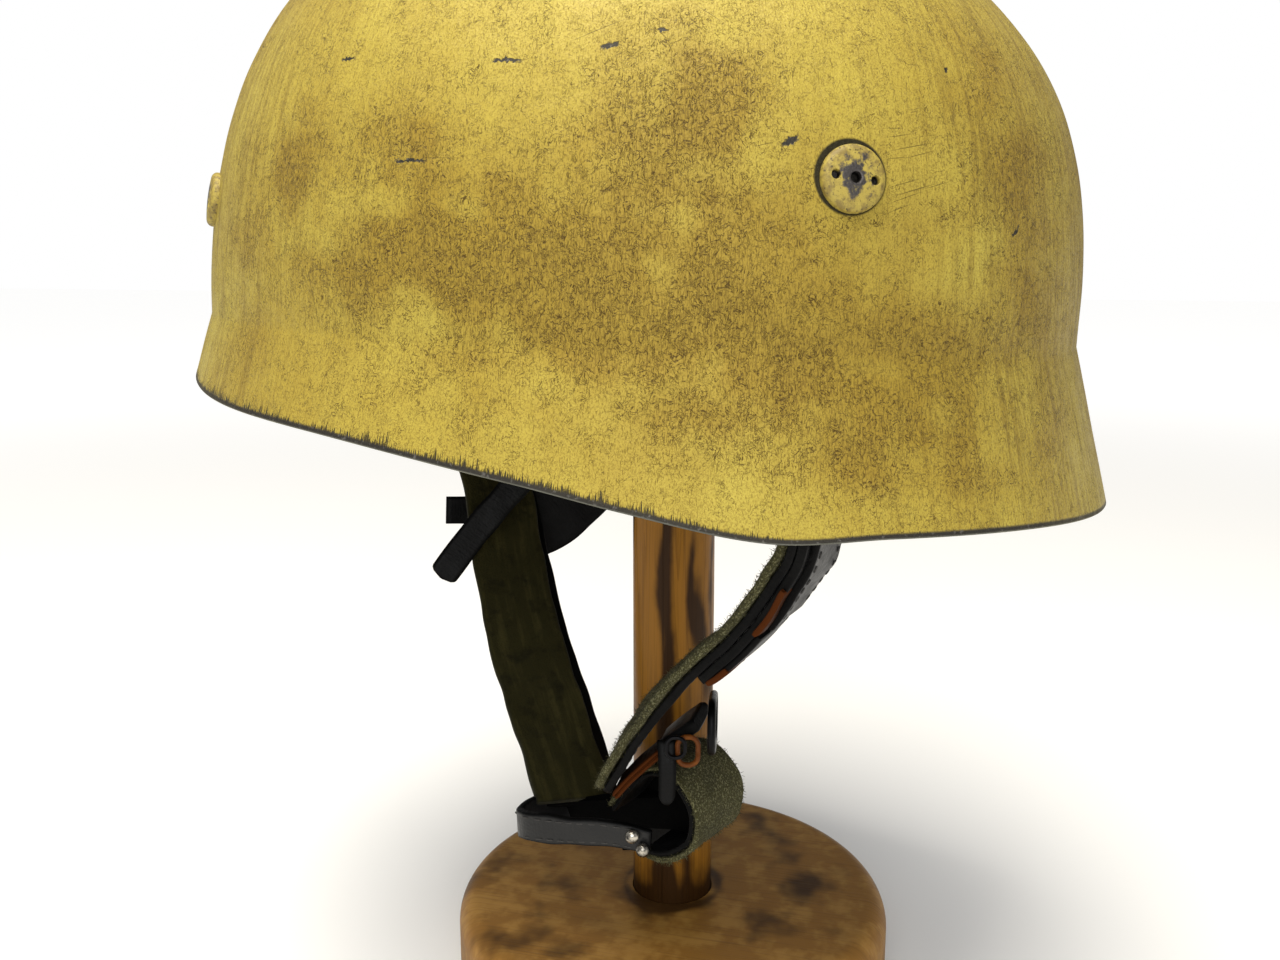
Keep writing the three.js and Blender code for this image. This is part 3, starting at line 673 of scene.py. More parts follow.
@dataclass(frozen=True)
class SandPaint:
    """Brushed sand enamel over blued sheet steel, aged by rubbing.

    It gives a chalky ochre whose pores hold brown grime in short curled hairs, dark ticks along the
    rim where the edge has lost its paint, and a few chips down to steel. The inside is dark. A near-black
    ring of painted shadow lies round the bolt in view.
    """

    light: str = "b0a146"
    sand: str = "917a2b"
    ochre: str = "6d561c"
    streaked: str = "69531d"
    grained: str = "5f4a17"
    scraped: str = "5f481a"
    grime: str = "3b2807"
    frayed: str = "27231b"
    scored: str = "3a2c14"
    bolt_shadow: str = "0c0a07"
    steel: str = "2b2a2b"
    bright: str = "6a6865"
    cut_pale: str = "6d706b"
    cut_dark: str = "3c3d3a"
    inside: str = "100f0b"
    cloud: float = 55.0
    blot: float = 20.0
    grit: float = 0.5
    hair: float = 2.6
    crowd: float = 5.0
    speck: float = 1.1
    peel: float = 4.0
    mark_depth: float = 4.0

    def chip_mask(self, s: Surface, place: bpy.types.NodeSocket, spots: Sequence[Any],
                  soft: float) -> bpy.types.NodeSocket:
        """Where the marks of a table lie.

        Args:
            s: the material being made.
            place: coordinates, shaken where the outline is broken.
            spots: middle, axes and size of each mark.
            soft: how far past its outline a mark fades, as a share of its size.

        Returns:
            1 inside a mark and 0 away from all of them.
        """
        mask = None
        for middle, axes, chip in spots:
            reach = np.array([chip.length / 2, chip.width / 2, self.mark_depth])
            local = add_node(s.tree, "Mapping", {
                "Vector": place, "Location": tuple(middle * MM), "Scale": tuple(reach * MM),
                "Rotation": tuple(Matrix(axes.tolist()).to_euler())}, vector_type="TEXTURE").outputs[0]
            off = add_node(s.tree, "VectorMath", {0: local}, operation="LENGTH").outputs["Value"]
            spot = s.window(off, 1 - soft, 1 + soft / 2, 1, 0)
            mask = spot if mask is None else s.sum("MAXIMUM", mask, spot)
        return mask

    def dress(self, spots: Sequence[Any], lines: Sequence[Any], bolt_shadows: Sequence[Any]) -> bpy.types.Material:
        """Makes the paint.

        Args:
            spots: middle, axes and size of each chip.
            lines: the same for each long scratch.
            bolt_shadows: the same for the ring of painted shadow round the bolt in view.

        Returns:
            The material.
        """
        s = Surface("sand_enamel_on_steel")
        place = s.place
        wall, flat = s.attribute("wall", "Vector"), s.attribute("flat", "Vector")
        rim = add_node(s.tree, "SeparateXYZ", {0: wall}).outputs[2]
        worn, inside = s.attribute("worn"), s.attribute("inside")
        brushed, frayed = s.attribute("brushed"), s.attribute("frayed")
        # Broad clouds, blots a third as wide, and streaks down the wall towards brow and nape
        cloud = s.noise(place, self.cloud * MM, 6, 0.62)
        blot = s.noise(place, self.blot * MM, 7, 0.68)
        streak = s.noise(s.scaled(wall, (1.6, 1.6, 34.0)), 1.0, 5, 0.65)
        clean = s.sum("SUBTRACT", s.window(cloud, 0.28, 0.74, 0.30, 0.85), s.sum("MULTIPLY", worn, 0.55))
        colour = s.layer(self.sand, self.light, clean)
        haze = s.sum("MULTIPLY", s.window(blot, 0.30, 0.70), s.window(worn, 0.05, 1.1, 0.08, 0.30))
        colour = s.layer(colour, self.ochre, haze)
        drawn = s.sum("MULTIPLY", s.window(streak, 0.44, 0.66), brushed)
        colour = s.layer(colour, self.streaked, s.sum("MULTIPLY", drawn, 0.55))
        # Chalky grain, half a millimetre across
        grit = s.noise(place, self.grit * MM, 3, 0.7)
        colour = s.stain(colour, self.grained, grit, 0.46, 0.66, 0.50)
        # Grime hairs: the thin level lines of a curled noise, let through where the paint is rubbed
        curl = s.noise(place, self.hair * MM, 3, 0.75, 0.7)
        ridge = s.window(s.sum("ABSOLUTE", s.sum("SUBTRACT", curl, 0.5)), 0.004, 0.026, 1, 0)
        crowd = s.noise(place, self.crowd * MM, 5, 0.75)
        push = s.sum("MULTIPLY_ADD", worn, 0.22, s.sum("MULTIPLY_ADD", blot, 0.35, crowd))
        hairs = s.sum("MULTIPLY", ridge, s.window(push, 0.55, 0.92))
        speck = s.noise(place, self.speck * MM, 3, 0.6)
        dots = s.window(s.sum("MULTIPLY_ADD", worn, 0.05, speck), 0.69, 0.74, 0, 0.7)
        grime = s.sum("MAXIMUM", s.sum("MULTIPLY", hairs, 0.95), dots)
        # Upright dry-brush ticks: one set 6 mm long, and three shorter sets where it is rubbed
        ticks = None
        for turn, width, length, seat, where in (
                (0, 0.38, 6.0, 0.70, brushed), (38, 0.34, 2.4, 0.665, worn), (-40, 0.34, 2.2, 0.665, worn),
                (78, 0.34, 2.2, 0.67, worn)):
            run = s.noise(s.scaled(flat, (width, length, 1.0), turn), 1.0, 2, 0.5)
            low = s.sum("SUBTRACT", seat, s.sum("MULTIPLY", where, 0.06))
            cut = s.window(run, low, s.sum("ADD", low, 0.04), 0, 0.6)
            ticks = cut if ticks is None else s.sum("MAXIMUM", ticks, cut)
        colour = s.layer(colour, self.scraped, ticks)
        colour = s.layer(colour, self.grime, grime)
        # Rim: bare blued steel for a millimetre, then hairline ticks that thin out up the wall
        hair = s.noise(s.scaled(wall, (0.24, 0.24, 5.0)), 1.0, 2, 0.5)
        group = s.noise(wall, 9.0, 3, 0.6)
        reach = s.sum("MULTIPLY", frayed, s.window(group, 0.30, 0.74, 1.8, 4.6))
        climb = s.sum("DIVIDE", rim, s.sum("MAXIMUM", reach, 0.3))
        edge = s.window(s.sum("SUBTRACT", hair, s.sum("MULTIPLY", climb, 0.30)), 0.335, 0.40)
        colour = s.layer(colour, self.frayed, edge)
        bare_rim = s.window(rim, 0.5, 1.3, 1, 0)
        colour = s.layer(colour, self.steel, bare_rim)
        # Chips with broken outlines, long fine scratches, and the ring of painted shadow round the bolt
        broken = add_node(s.tree, "TexNoise", {"Vector": place, "Scale": 1100.0, "Detail": 3.0})
        shift = add_node(s.tree, "VectorMath", {0: broken.outputs["Color"], 1: (0.5, 0.5, 0.5)},
                         operation="SUBTRACT").outputs[0]
        shift = add_node(s.tree, "VectorMath", {0: shift, "Scale": 2 * MM}, operation="SCALE").outputs[0]
        shaken = add_node(s.tree, "VectorMath", {0: place, 1: shift}, operation="ADD").outputs[0]
        chips = self.chip_mask(s, shaken, spots, 0.25)
        scored = s.sum("MULTIPLY", self.chip_mask(s, place, lines, 0.8), 0.75)
        colour = s.layer(colour, self.scored, scored)
        # Painted shadow: a near-black ring round the bolt's seat
        colour = s.layer(colour, self.bolt_shadow, self.chip_mask(s, place, bolt_shadows, 0.05))
        colour = s.layer(colour, self.steel, chips)
        bare = s.sum("MAXIMUM", chips, bare_rim)
        sheen = s.window(s.noise(place, MM, 3), 0.56, 0.72, 0, 0.6)
        colour = s.layer(colour, self.bright, s.sum("MULTIPLY", bare, sheen))
        # Inside and the rim's underside
        dark_inner, under = s.window(inside, 0.75, 0.95), s.window(inside, 0.05, 0.3)
        colour = s.layer(colour, s.layer(self.cut_pale, self.cut_dark, blot), under)
        colour = s.layer(colour, self.inside, dark_inner)
        shine = s.sum("MULTIPLY", s.sum("MAXIMUM", bare, under), s.window(inside, 0.9, 1.0, 0.45, 0.0))
        rough = s.window(s.sum("ADD", grit, blot), 0.75, 1.25, 0.42, 0.62)
        lift = s.sum("MULTIPLY_ADD", grit, 0.8, s.sum("MULTIPLY", grime, -0.7))
        gone = s.sum("MAXIMUM", bare, s.sum("MAXIMUM", ticks, edge))
        lift = s.sum("SUBTRACT", lift, s.sum("MULTIPLY", gone, 0.9))
        bump = s.relief(lift, 0.00012)
        peel = s.relief(s.noise(place, self.peel * MM, 4, 0.6), 0.00030, bump)
        return s.finish(Base_Color=colour, Roughness=rough, Metallic=shine, Normal=peel, IOR=1.42,
                        Specular_IOR_Level=0.55, Specular_Tint=linear("fff0b8"))


# Spanner bolts

@dataclass
class SpannerBolt:
    """A domed bolt with a vent in its middle and two spanner holes, and its nut inside the shell."""

    name: str
    azimuth: float
    level: float = BOLT_LEVEL
    head: float = 15.4
    rise: float = 2.0
    lift: float = 0.3
    vent: float = 2.4
    hole: float = 1.9
    spacing: float = 9.4
    turn: float = 0.0
    nut: float = 12.0
    nut_bore: float = 6.6
    nut_thickness: float = 2.4
    nut_ease: float = 0.4
    nut_inset: float = 7.4
    rings: int = 70
    spokes: int = 220

    def head_skin(self, form: ShellForm) -> Skin:
        """The head as a height over a disc.

        Height falls from the middle as a shallow dome, rolls over at the edge as a quarter round, and
        drops by a narrow ramp into the vent and the two spanner holes.

        Args:
            form: the shell that it sits on.

        Returns:
            The head's skin.
        """
        here, out, down, side = form.frame(self.azimuth, self.level)
        radius = self.head / 2
        r = np.sqrt(np.linspace(0.0004, 1, self.rings))[:, None] * radius
        a = circle(self.spokes)[None, :]
        u, v = r * np.cos(a), r * np.sin(a)
        share = r / radius
        roll = np.sqrt(np.maximum(1 - np.maximum((share - 0.80) / 0.20, 0) ** 2, 0))
        dome = self.rise * (1 - 0.30 * share**2) * roll
        pits = np.zeros_like(u)
        t = np.radians(self.turn)
        for away, width in ((0.0, self.vent), (-self.spacing / 2, self.hole), (self.spacing / 2, self.hole)):
            off = np.hypot(u - away * np.cos(t), v - away * np.sin(t))
            pits = np.maximum(pits, np.clip((width / 2 + 0.14 - off) / 0.28, 0, 1))
        height = dome - pits * (self.rise - 0.25)
        base = here + out * self.lift
        points = base + side * u[..., None] + down * v[..., None] + out * height[..., None]
        skirt = points[-1] - out * 0.9
        rows = np.concatenate([points, skirt[None]])
        values = {
            "pit": np.concatenate([pits, np.zeros((1, self.spokes))]).ravel(),
            "middle": np.concatenate([np.broadcast_to(share, u.shape), np.ones((1, self.spokes))]).ravel(),
        }
        faces = grid_faces(len(rows), self.spokes, closed_columns=True)
        skin = Skin(rows.reshape(-1, 3), faces, values)
        skin = skin.fan(np.arange(self.spokes), base + out * 0.25, False)
        last = np.arange(self.spokes) + (len(rows) - 1) * self.spokes
        return skin.fan(last, base - out * 0.9, True)

    def nut_skin(self, form: ShellForm) -> Skin:
        """The nut as a turned ring: an eased oblong section carried round the bolt's axis.

        Args:
            form: the shell that it sits in.

        Returns:
            The nut's skin.
        """
        here, out, down, side = form.frame(self.azimuth, self.level)
        bore, rim, high, ease = self.nut_bore / 2, self.nut / 2, self.nut_thickness, self.nut_ease
        section = np.array([(bore, 0), (rim - ease, 0), (rim, ease), (rim, high - ease), (rim - ease, high),
                            (bore, high)])
        points = revolved(section, 48, here - out * self.nut_inset, (side, down, -out))
        return Skin(points.reshape(-1, 3), grid_faces(len(section), 48, True, True)[:, ::-1])

    def build(self, form: ShellForm, head: bpy.types.Material, steel: bpy.types.Material) -> None:
        """Makes the head and the nut.

        Args:
            form: the shell that they clamp.
            head: the head's paint.
            steel: the nut's metal.
        """
        Piece(f"spanner_bolt_{self.name}", self.head_skin(form), head, (f"bolt_{self.name}",),
              "sand_paint", 50).build()
        Piece(f"round_nut_{self.name}", self.nut_skin(form), steel, (f"nut_{self.name}",),
              "dark_steel").build()


@dataclass(frozen=True)
class BoltPaint:
    """The shell's enamel over a turned steel bolt, rubbed through where a spanner has slipped."""

    sand: str = "9a8836"
    dull: str = "77652a"
    dirt: str = "33280f"
    steel: str = "4f4b49"
    hole: str = "1a1712"

    def dress(self) -> bpy.types.Material:
        """Makes the paint.

        Returns:
            The material.
        """
        s = Surface("sand_enamel_on_bolt")
        pit, middle = s.attribute("pit"), s.attribute("middle")
        blot = s.noise(s.place, 0.0022, 4, 0.6)
        fine = s.noise(s.place, 0.0007, 4, 0.6)
        colour = s.stain(self.sand, self.dull, blot, 0.40, 0.62)
        colour = s.stain(colour, self.dirt, fine, 0.56, 0.66, 0.85)
        rubbed = s.window(s.sum("ADD", s.sum("MULTIPLY", middle, -0.60), blot), 0.12, 0.30)
        colour = s.layer(colour, self.steel, rubbed)
        colour = s.stain(colour, self.hole, pit, 0.2, 0.8)
        bump = s.relief(s.sum("ADD", fine, blot), 0.00016)
        return s.finish(Base_Color=colour, Roughness=s.window(rubbed, 0, 1, 0.6, 0.38),
                        Metallic=s.sum("MULTIPLY", rubbed, 0.8), Normal=bump)


@dataclass(frozen=True)
class BluedSteel:
    """Turned metal with darker clouds: near black with a soft grey sheen, unless another tone is given."""

    name: str = "blued_steel"
    tone: str = "3a3b3d"
    rough: float = 0.42
    dark: str = "141416"

    def dress(self) -> bpy.types.Material:
        """Makes the metal.

        Returns:
            The material.
        """
        s = Surface(self.name)
        blot = s.noise(s.place, 0.003, 4, 0.6)
        fine = s.noise(s.place, 0.0006, 3, 0.6)
        colour = s.stain(self.tone, self.dark, blot, 0.35, 0.65)
        rough = s.window(blot, 0.3, 0.7, self.rough - 0.1, self.rough + 0.12)
        return s.finish(Base_Color=colour, Roughness=rough, Metallic=0.9, Normal=s.relief(fine, 0.00006))


# Harness

@dataclass(frozen=True)
class Station:
    """A point on a strap's edge and the way its width points.

    across, along and up are shares of the shell's half width, half length and crease height above the
    disc. heading is the plan angle of the width from the brow, and lean its rise, in degrees.
    """

    across: float
    along: float
    up: float
    heading: float
    lean: float


@dataclass
class Route:
    """A strap's path: edge points and width directions, with a curve through them.

    Positions follow a centripetal Catmull-Rom curve and the widths a uniform one, both read at equal
    shares of the curve's length, as the frame's straps are.
    """

    points: np.ndarray
    widths: np.ndarray

    @staticmethod
    def direction(heading: float, lean: float) -> np.ndarray:
        """A width direction from its plan angle and rise."""
        a, b = np.radians(heading), np.radians(lean)
        return np.array([np.sin(a) * np.cos(b), -np.cos(a) * np.cos(b), np.sin(b)])

    @classmethod
    def place(cls, across: float, along: float, up: float) -> np.ndarray:
        """A point from its shares of the shell's sizes."""
        return np.array([across, along, up]) * STRAP_SHARES + [0, 0, STAND_TOP]

    @classmethod
    def through(cls, stations: Sequence[Station], start: "Route | None" = None) -> "Route":
        """A route through a table of stations.

        Args:
            stations: the table.
            start: a first stretch before it.

        Returns:
            The route.
        """
        points = np.array([cls.place(s.across, s.along, s.up) for s in stations])
        widths = np.array([cls.direction(s.heading, s.lean) for s in stations])
        if start is not None:
            points, widths = np.vstack([start.points, points]), np.vstack([start.widths, widths])
        return cls(points, widths)

    @classmethod
    def clamped(cls, form: ShellForm, azimuth: float, slant: float, width: float = 26.0,
                runs: Sequence[float] = (-8.0, 0.0, 16.0), inset: float = 7.1) -> "Route":
        """The stretch of a strap held under a bolt, leaving it at a slant from straight down.

        Args:
            form: the shell.
            azimuth: the bolt's.
            slant: degrees from straight down.
            width: the strap's.
            runs: how far from the bolt each point of the stretch lies.
            inset: how far inside the shell's outer face the strap lies.

        Returns:
            The route.
        """
        here, out, down, side = form.frame(azimuth, BOLT_LEVEL)
        a = np.radians(slant)
        run = down * np.cos(a) + side * np.sin(a)
        across = side * np.cos(a) - down * np.sin(a)
        points = np.array([here - out * inset + run * length - across * width / 2 for length in runs])
        return cls(points, np.repeat(across[None], len(runs), 0))

    @staticmethod
    def spline(values: np.ndarray, t: np.ndarray, centripetal: bool) -> np.ndarray:
        """A Catmull-Rom curve.

        Each span is a cubic whose end slopes come from the neighbouring values: by equal spans for the
        uniform curve, and by the square roots of the distances for the centripetal one.

        Args:
            values: what it passes through.
            t: shares of its spans.
            centripetal: which of the two curves it is.

        Returns:
            The curve's values.
        """
        padded = np.vstack([2 * values[0] - values[1], values, 2 * values[-1] - values[-2]])
        p = np.clip(t, 0, 1) * (len(values) - 1)
        k = np.minimum(p.astype(int), len(values) - 2)
        w = (p - k)[:, None]
        x0, x1, x2, x3 = (padded[k + i] for i in range(4))
        if centripetal:
            d0, d1, d2 = (np.maximum(np.linalg.norm(b - a, axis=1), 1e-6)[:, None] ** 0.5
                          for a, b in ((x0, x1), (x1, x2), (x2, x3)))
            s1 = ((x1 - x0) / d0 - (x2 - x0) / (d0 + d1) + (x2 - x1) / d1) * d1
            s2 = ((x2 - x1) / d1 - (x3 - x1) / (d1 + d2) + (x3 - x2) / d2) * d1
        else:
            s1, s2 = 0.5 * (x2 - x0), 0.5 * (x3 - x1)
        return (x1 + s1 * w + (-3 * x1 + 3 * x2 - 2 * s1 - s2) * w**2
                + (2 * x1 - 2 * x2 + s1 + s2) * w**3)

    def read(self, shares: np.ndarray) -> tuple[np.ndarray, np.ndarray, np.ndarray, np.ndarray, float]:
        """The strap's axes along its path.

        Args:
            shares: shares of the curve's length.

        Returns:
            The points, their run, width and face directions, and the curve's length.
        """
        steps = np.linspace(0, 1, 401)
        path = self.spline(self.points, steps, True)
        run = np.concatenate([[0], np.cumsum(np.linalg.norm(np.diff(path, axis=0), axis=1))])
        t = np.interp(shares * run[-1], run, steps)
        here = self.spline(self.points, t, True)
        ahead = unit(self.spline(self.points, t + 1e-4, True) - self.spline(self.points, t - 1e-4, True))
        width = self.spline(self.widths, t, False)
        width = unit(width - np.sum(width * ahead, 1, keepdims=True) * ahead)
        return here, ahead, width, unit(np.cross(ahead, width)), float(run[-1])


@dataclass
class Band:
    """One layer of a strap: a rounded oblong section carried along a route.

    The section is an oblong with quarter-round corners between two lifts off the route's face. Its
    corners are rounded by the softness, it sways and cups slightly by the wave, and its ends close with
    a rounded cap. It runs from first to last, as shares of the route. The shift moves its two ends
    across, the taper is its last width as a share of its first, the round end narrows its last
    millimetres, and the ply cuts a groove along its edges.
    """

    name: str
    route: Route
    width: float
    low: float
    high: float
    first: float = 0.0
    last: float = 1.0
    stands_for: tuple[str, ...] = ()
    slot: str = "black_leather"
    softness: float = 0.75
    wave: float = 0.12
    seed: int = 1
    step: float = 0.8
    shift: tuple[float, float] = (0.0, 0.0)
    taper: float = 1.0
    round_end: float = 0.0
    ply: float = 0.0

    def skin(self) -> Skin:
        """The layer's closed skin.

        Returns:
            The skin, with distances along, across and through it, and how near its edge each point is.
        """
        length = self.route.read(np.array([0.0, 1.0]))[4]
        span = (self.last - self.first) * length
        rows = max(int(span / self.step), 6)
        shares = np.linspace(self.first, self.last, rows)
        here, _, across, face, _ = self.route.read(shares)
        thick = self.high - self.low
        soft = min(self.softness, thick / 2)
        flat = np.linspace(soft, self.width - soft, 17)
        arc = np.radians(np.linspace(90, 0, 5))[1:]
        right = [self.width - soft, thick - soft] + soft * np.stack([np.cos(arc), np.sin(arc)], 1)
        top = np.stack([flat, np.full(len(flat), thick)], 1)
        side = np.array([[self.width, thick / 2]])
        quarter = np.concatenate([top[8:], right, side])
        upper = np.concatenate([np.flip(quarter * [-1, 1] + [self.width, 0], 0)[:-1], quarter])
        lower = np.flip(upper * [1, -1] + [0, thick], 0)[1:-1]
        section = np.concatenate([upper, lower])
        w, h = section[:, 0], section[:, 1]
        along_mm = np.linspace(0, span, rows)
        grow = np.linspace(0, 1, rows)
        swing = np.stack([shares * length, np.zeros(rows)], 1)
        sway = self.wave * ripple(swing, 22, self.seed)
        fray = self.wave * 1.2 * ripple(swing + [0, 1.0], 9, self.seed + 50)
        field_points = np.stack([np.repeat(shares * length, len(w)), np.tile(w, rows)], 1)
        cup = 0.7 * self.wave * ripple(field_points, 8, self.seed + 90).reshape(rows, -1)
        side_share = np.clip((w - self.width / 2) / (self.width / 2), -1, 1)
        notch = self.ply * np.exp(-((h - thick / 2) / 0.3) ** 2) * (np.abs(side_share) > 0.9)
        narrow = 1 + (self.taper - 1) * grow
        if self.round_end:
            left = np.clip((span - along_mm) / self.round_end, 0, 1)
            narrow = narrow * np.sqrt(np.maximum(1 - (1 - left) ** 2, 0.02))
        reach_w = side_share * (self.width / 2 - notch)
        local_w = self.width / 2 + reach_w * narrow[:, None] + fray[:, None] * side_share
        local_w = local_w + np.interp(grow, [0, 1], self.shift)[:, None]
        near_end = np.minimum(along_mm, span - along_mm)
        close = np.clip(near_end / soft + 0.3, 0, 1)
        squeeze = np.sqrt(1 - (1 - close) ** 2)
        centre = self.low + thick / 2
        lift = centre + (h[None, :] - thick / 2) * squeeze[:, None] + sway[:, None] + cup
        points = here[:, None] + across[:, None] * local_w[..., None] + face[:, None] * lift[..., None]
        rim = np.minimum(w, self.width - w)
        edge = np.tile(np.clip(1 - rim / 1.6, 0, 1), rows)
        end = np.repeat(np.clip(1 - near_end / 1.6, 0, 1), len(w))
        strap = np.stack([np.repeat(shares * length, len(w)), np.tile(w, rows), np.tile(h, rows)], 1)
        values = {"strap": strap, "edge": np.maximum(edge, end)}
        skin = Skin(points.reshape(-1, 3), grid_faces(rows, len(w), closed_columns=True)[:, ::-1], values)
        ring = np.arange(len(w))
        skin = skin.fan(ring, points[0].mean(0), True)
        return skin.fan(ring + (rows - 1) * len(w), points[-1].mean(0), False)

    def build(self, material: bpy.types.Material) -> None:
        """Makes the layer."""
        Piece(self.name, self.skin(), material, self.stands_for, self.slot, 50).build()


@dataclass(frozen=True)
class Leather:
    """Vegetable-tanned strap leather, dyed and waxed, cut with square edges that wear has rounded.

    It gives a fine pebbled grain with long creases across the strap, a soft waxy shine on the face and
    a dull cut edge in a tone of its own.
    """

    name: str = "black_strap_leather"
    face: str = "060607"
    worn: str = "141416"
    edge: str = "050505"
    rough: float = 0.44
    coat: float = 0.06
    grain: float = 0.9
    shine: float = 0.28

    def dress(self) -> bpy.types.Material:
        """Makes the leather.

        Returns:
            The material.
        """
        s = Surface(self.name)
        strap, edge = s.attribute("strap", "Vector"), s.attribute("edge")
        blot = s.noise(strap, 9.0, 4, 0.55)
        pebble = add_node(s.tree, "TexVoronoi", {
            "Vector": strap, "Scale": 1 / self.grain}, feature="SMOOTH_F1").outputs["Distance"]
        crease = s.noise(s.scaled(strap, (1.1, 9.0, 3.0)), 1.0, 3, 0.55)
        colour = s.stain(self.face, self.worn, blot, 0.45, 0.75, 0.6)
        colour = s.layer(colour, self.edge, edge)
        lift = s.sum("ADD", s.sum("MULTIPLY", pebble, 0.35), s.sum("MULTIPLY", crease, 0.8))
        bump = s.relief(lift, 0.00022)
        fine = s.noise(s.place, 0.0008, 3, 0.6)
        bump = s.relief(fine, 0.00008, bump)
        dull = s.sum("MULTIPLY_ADD", edge, 0.25, blot)
        rough = s.window(dull, 0.3, 0.9, self.rough - 0.08, self.rough + 0.25)
        coat = s.window(edge, 0.2, 1, self.coat, 0)
        shine = s.window(edge, 0.2, 1, self.shine, self.shine * 0.25)
        return s.finish(Base_Color=colour, Roughness=rough, Normal=bump, IOR=1.5, Coat_Weight=coat,
                        Coat_Roughness=0.3, Specular_IOR_Level=shine)


@dataclass(frozen=True)
class Felt:
    """Pressed wool felt: a heathered mat of olive, grey and tan fibres, quite matt, with a faint bloom."""

    name: str = "olive_wool_felt"
    base: str = "444122"
    light: str = "8d8a63"
    dark: str = "1b1a0c"
    fibre: float = 0.6
    fuzz: float = 0.05

    def dress(self) -> bpy.types.Material:
        """Makes the felt.

        Returns:
            The material.
        """
        s = Surface(self.name)
        strap = s.attribute("strap", "Vector")
        blot = s.noise(s.place, 0.010, 4, 0.55)
        mat = s.noise(s.place, self.fibre * MM, 4, 0.7)
        second = s.noise(s.scaled(strap, (0.9, 0.4, 0.4), 30), 1.0, 4, 0.7)
        colour = s.stain(self.base, self.light, mat, 0.50, 0.62, 0.85)
        colour = s.stain(colour, self.dark, second, 0.48, 0.66, 0.7)
        colour = s.stain(colour, self.dark, blot, 0.45, 0.75, 0.45)
        bump = s.relief(s.sum("ADD", mat, second), 0.0008)
        return s.finish(Base_Color=colour, Roughness=0.95, Normal=bump, Specular_IOR_Level=0.06,
                        Sheen_Weight=self.fuzz, Sheen_Roughness=0.6)


@dataclass(frozen=True)
class Suede:
    """Napped olive-drab split leather: a short nap with smeared light and dark strokes."""

    name: str = "olive_suede"
    base: str = "2b2812"
    light: str = "3d391d"
    dark: str = "17150a"
    edge: str = "1a1a14"

    def dress(self) -> bpy.types.Material:
        """Makes the suede.

        Returns:
            The material.
        """
        s = Surface(self.name)
        strap, edge = s.attribute("strap", "Vector"), s.attribute("edge")
        stroke = s.noise(s.scaled(strap, (26.0, 3.2, 3.0)), 1.0, 5, 0.6)
        blot = s.noise(s.place, 0.007, 4, 0.6)
        nap = s.noise(s.place, 0.0007, 4, 0.65)
        colour = s.stain(self.base, self.light, stroke, 0.45, 0.70, 0.8)
        colour = s.stain(colour, self.dark, blot, 0.48, 0.72, 0.7)
        colour = s.stain(colour, self.dark, nap, 0.55, 0.70, 0.4)
        colour = s.stain(colour, self.edge, edge, 0.5, 1.0, 0.6)
        bump = s.relief(s.sum("ADD", nap, stroke), 0.0003)
        return s.finish(Base_Color=colour, Roughness=0.88, Normal=bump, Specular_IOR_Level=0.05,
                        Sheen_Weight=0.04, Sheen_Roughness=0.5)


